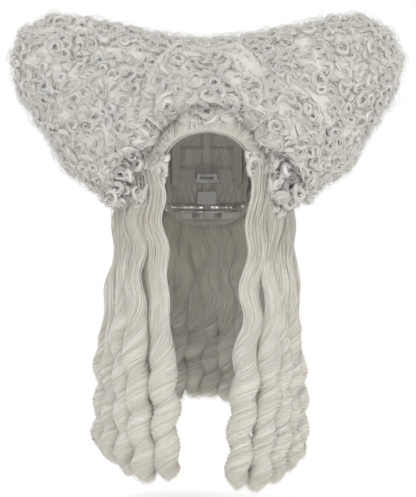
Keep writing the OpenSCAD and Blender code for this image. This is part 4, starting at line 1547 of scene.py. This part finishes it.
class Studio:
    """Camera, lights, floor and background."""

    DISTANCE = 3.0
    VIEW_HEIGHT = 0.62125            # height that the picture spans in the plane of the ringlets
    PLANE_Y = -0.02
    CENTRE = (0.00125, -0.0981)      # x and z in the middle of the picture
    SENSOR = 36.0
    FLOOR_Z = -0.412
    FLOOR_RADIUS = 1.3
    AIM = (0, 0, -0.05)
    LIGHTS = (("key", (-0.9, -2.2, 1.7), 1.8, 13), ("fill", (1.8, -1.6, 0.5), 1.8, 8),
              ("back", (0.6, 2.2, 1.5), 1.6, 13))      # name, place, side and watts
    DAYLIGHT = 0.74

    def build(self, finishes: Finishes) -> None:
        """Builds everything round the wig.

        Args:
            finishes: materials, for the floor.
        """
        scene = bpy.context.scene
        scene.view_settings.view_transform = "Standard"
        data = bpy.data.cameras.new("camera")
        camera = bpy.data.objects.new("camera", data)
        scene.collection.objects.link(camera)
        data.sensor_width = self.SENSOR
        data.lens = self.SENSOR * self.DISTANCE / self.VIEW_HEIGHT
        camera.location = (self.CENTRE[0], self.PLANE_Y - self.DISTANCE, self.CENTRE[1])
        camera.rotation_euler = (math.radians(90), 0, 0)
        scene.camera = camera
        for name, stand, size, power in self.LIGHTS:
            self.light(name, stand, size, power)
        self.sky()
        self.floor(finishes.floor)

    def light(self, name: str, stand: Triple, size: float, power: float) -> None:
        """Adds a soft square light aimed at the wig.

        Args:
            name: its name.
            stand: where it stands.
            size: its side.
            power: watts.
        """
        data = bpy.data.lights.new(name, "AREA")
        data.shape, data.size, data.energy = "SQUARE", size, power
        lamp = bpy.data.objects.new(name, data)
        lamp.location = stand
        lamp.rotation_euler = (Vector(self.AIM) - Vector(stand)).to_track_quat("-Z", "Y").to_euler()
        bpy.context.scene.collection.objects.link(lamp)

    def sky(self) -> None:
        """Lights the scene evenly and shows plain white behind it."""
        world = bpy.data.worlds.new("studio")
        bpy.context.scene.world = world
        world.use_nodes = True
        graph = Graph(world.node_tree)
        world.node_tree.nodes.clear()
        seen = graph.add("LightPath").outputs["Is Camera Ray"]
        soft = graph.add("Background", {"Color": (1, 1, 1, 1), "Strength": self.DAYLIGHT})
        plain = graph.add("Background", {"Color": (1, 1, 1, 1), "Strength": 1.0})
        mix = graph.add("MixShader", {0: seen, 1: soft.outputs[0], 2: plain.outputs[0]})
        graph.add("OutputWorld", {"Surface": mix.outputs[0]})

    def floor(self, material: bpy.types.Material) -> None:
        """Adds a round floor whose rim fades out.

        Args:
            material: its finish.
        """
        rings, sectors = 8, 48
        angle = TURN * np.arange(sectors) / sectors
        grid = [[0.0, 0.0, 0.0]]
        for i in range(1, rings + 1):
            r = self.FLOOR_RADIUS * i / rings
            grid += [[r * math.cos(a), r * math.sin(a), 0.0] for a in angle]
        faces = [[0, 1 + j, 1 + (j + 1) % sectors] for j in range(sectors)]
        for i in range(rings - 1):
            a, b = 1 + i * sectors, 1 + (i + 1) * sectors
            faces += [[a + j, b + j, b + (j + 1) % sectors, a + (j + 1) % sectors] for j in range(sectors)]
        mesh = bpy.data.meshes.new("floor")
        mesh.from_pydata(grid, [], faces)
        mesh.materials.append(material)
        floor = bpy.data.objects.new("floor", mesh)
        floor.location.z = self.FLOOR_Z
        bpy.context.scene.collection.objects.link(floor)


class Kept(Enum):
    """CAD nodes that stay, by the finish they get."""

    TAPE = ("centre_rib_tape", "left_rib_tape", "right_rib_tape", "strap_casing")
    WEFT = ("crown_wefts", "left_side_weft", "right_side_weft", "nape_weft")
    ELASTIC = ("adjuster_ladder", "left_adjuster_strap", "right_adjuster_strap")
    STEEL = ("left_adjuster_hook", "right_adjuster_hook", "left_clip_frame", "left_clip_comb",
             "right_clip_frame", "right_clip_comb", "nape_clip_frame", "nape_clip_comb", "left_tab_stay",
             "right_tab_stay")
    SATIN = ("size_label",)
    WIRE = ("horn_wire",)


def dress_cad(finishes: Finishes) -> None:
    """Gives the CAD nodes that stay their finishes.

    Args:
        finishes: the wig's materials.
    """
    for kept in Kept:
        for name in kept.value:
            mesh = frame["nodes"][name].data
            mesh.materials.clear()
            mesh.materials.append(getattr(finishes, kept.name.lower()))


PANELS = ["front_curls", "crown_curls", "back_curls", "left_horn_curls", "right_horn_curls"]
PADS = ["left_horn_pad", "right_horn_pad", "crown_pad"]

# curls set beyond the panels: ranges of azimuth and polar angle (degrees) and distance out, and the count
BESIDE_ROLL = ((41, 58), (60, 97), (8 * MM, 16 * MM), 34)
OVER_EAR = ((52, 124), (80, 114), (14 * MM, 44 * MM), 110)
ABOVE_ROLL = ((-46, 46), (49, 58), (17 * MM, 24 * MM), 46)

# the same on the wearer's left, mirrored on the right: two corners of a box, and the count
UNDER_HORN = ((82 * MM, -66 * MM, -44 * MM), (122 * MM, -24 * MM, 14 * MM), (60, 3))
TEMPLE = ((58 * MM, -82 * MM, -16 * MM), (92 * MM, -60 * MM, 30 * MM), (30, 3))
SPILL = (0.35, -0.9, -0.25)      # the way these face


def strewn(rng: np.random.Generator, *fields: tuple) -> list[Array]:
    """Random azimuths, polar angles and distances out, over fields one after another."""
    return [np.concatenate([rng.uniform(*field[i], field[3]) for field in fields]) for i in range(3)]


def build_curls(finishes: Finishes, cap: CapShape) -> None:
    """Builds the curls of every panel, and those that spill over beyond the panels.

    Args:
        finishes: the wig's materials.
        cap: the head's shape.
    """
    surface = HairSurface(PANELS, ["crown_net", "hairline_roll"] + PADS)
    rng = np.random.default_rng(5)
    for i, name in enumerate(PANELS):
        front = name == "front_curls"
        large = CurlStyle(radius=(8 * MM, 14 * MM), strands=16, lock=(8 * MM, 7 * MM))
        style, spacing = (large, 13.0 * MM) if front else (CurlStyle(), 10.4 * MM)
        curls = CurlField(name, surface, style, spacing, cap, 10 + i)
        if "horn" in name:
            side = 1 if name.startswith("left") else -1
            azimuth, polar, out = strewn(rng, BESIDE_ROLL, OVER_EAR)
            curls.add_over(side * azimuth, polar, out)
            spot = np.concatenate([rng.uniform(*UNDER_HORN), rng.uniform(*TEMPLE)]) * [side, 1, 1]
            curls.add_at(spot, np.broadcast_to(unit(np.array(SPILL) * [side, 1, 1]), spot.shape))
        if front:
            curls.add_over(*strewn(rng, ABOVE_ROLL))
        curls.build(finishes)


def main() -> None:
    """Builds the whole scene, piece by piece."""
    logging.basicConfig(level=logging.INFO, format="%(message)s")
    finishes = Finishes()
    Studio().build(finishes)
    cap = CapShape()
    build_curls(finishes, cap)
    HairlineRoll(cap).build(finishes)
    LaceNet(cap).build(finishes)
    for band in (CapBand("front_band", cap, -47.9, 47.9), CapBand("nape_band", cap, 102, 258),
                 CapBand("left_ear_tab", cap, 48.2, 82, depth=5, out=-1.8 * MM, top=86),
                 CapBand("right_ear_tab", cap, -48.2, -82, depth=5, out=-1.8 * MM, top=86)):
        band.build(finishes)
    for i, name in enumerate(PADS):
        HairPad(name, 61 + i).build(finishes)
    for i, name in enumerate(sorted(n for n in frame["nodes"] if "ringlet" in n)):
        Ringlet(name, RingletStyle(), 200 + i).build(finishes)
    dress_cad(finishes)


if __name__ == "__main__":
    main()
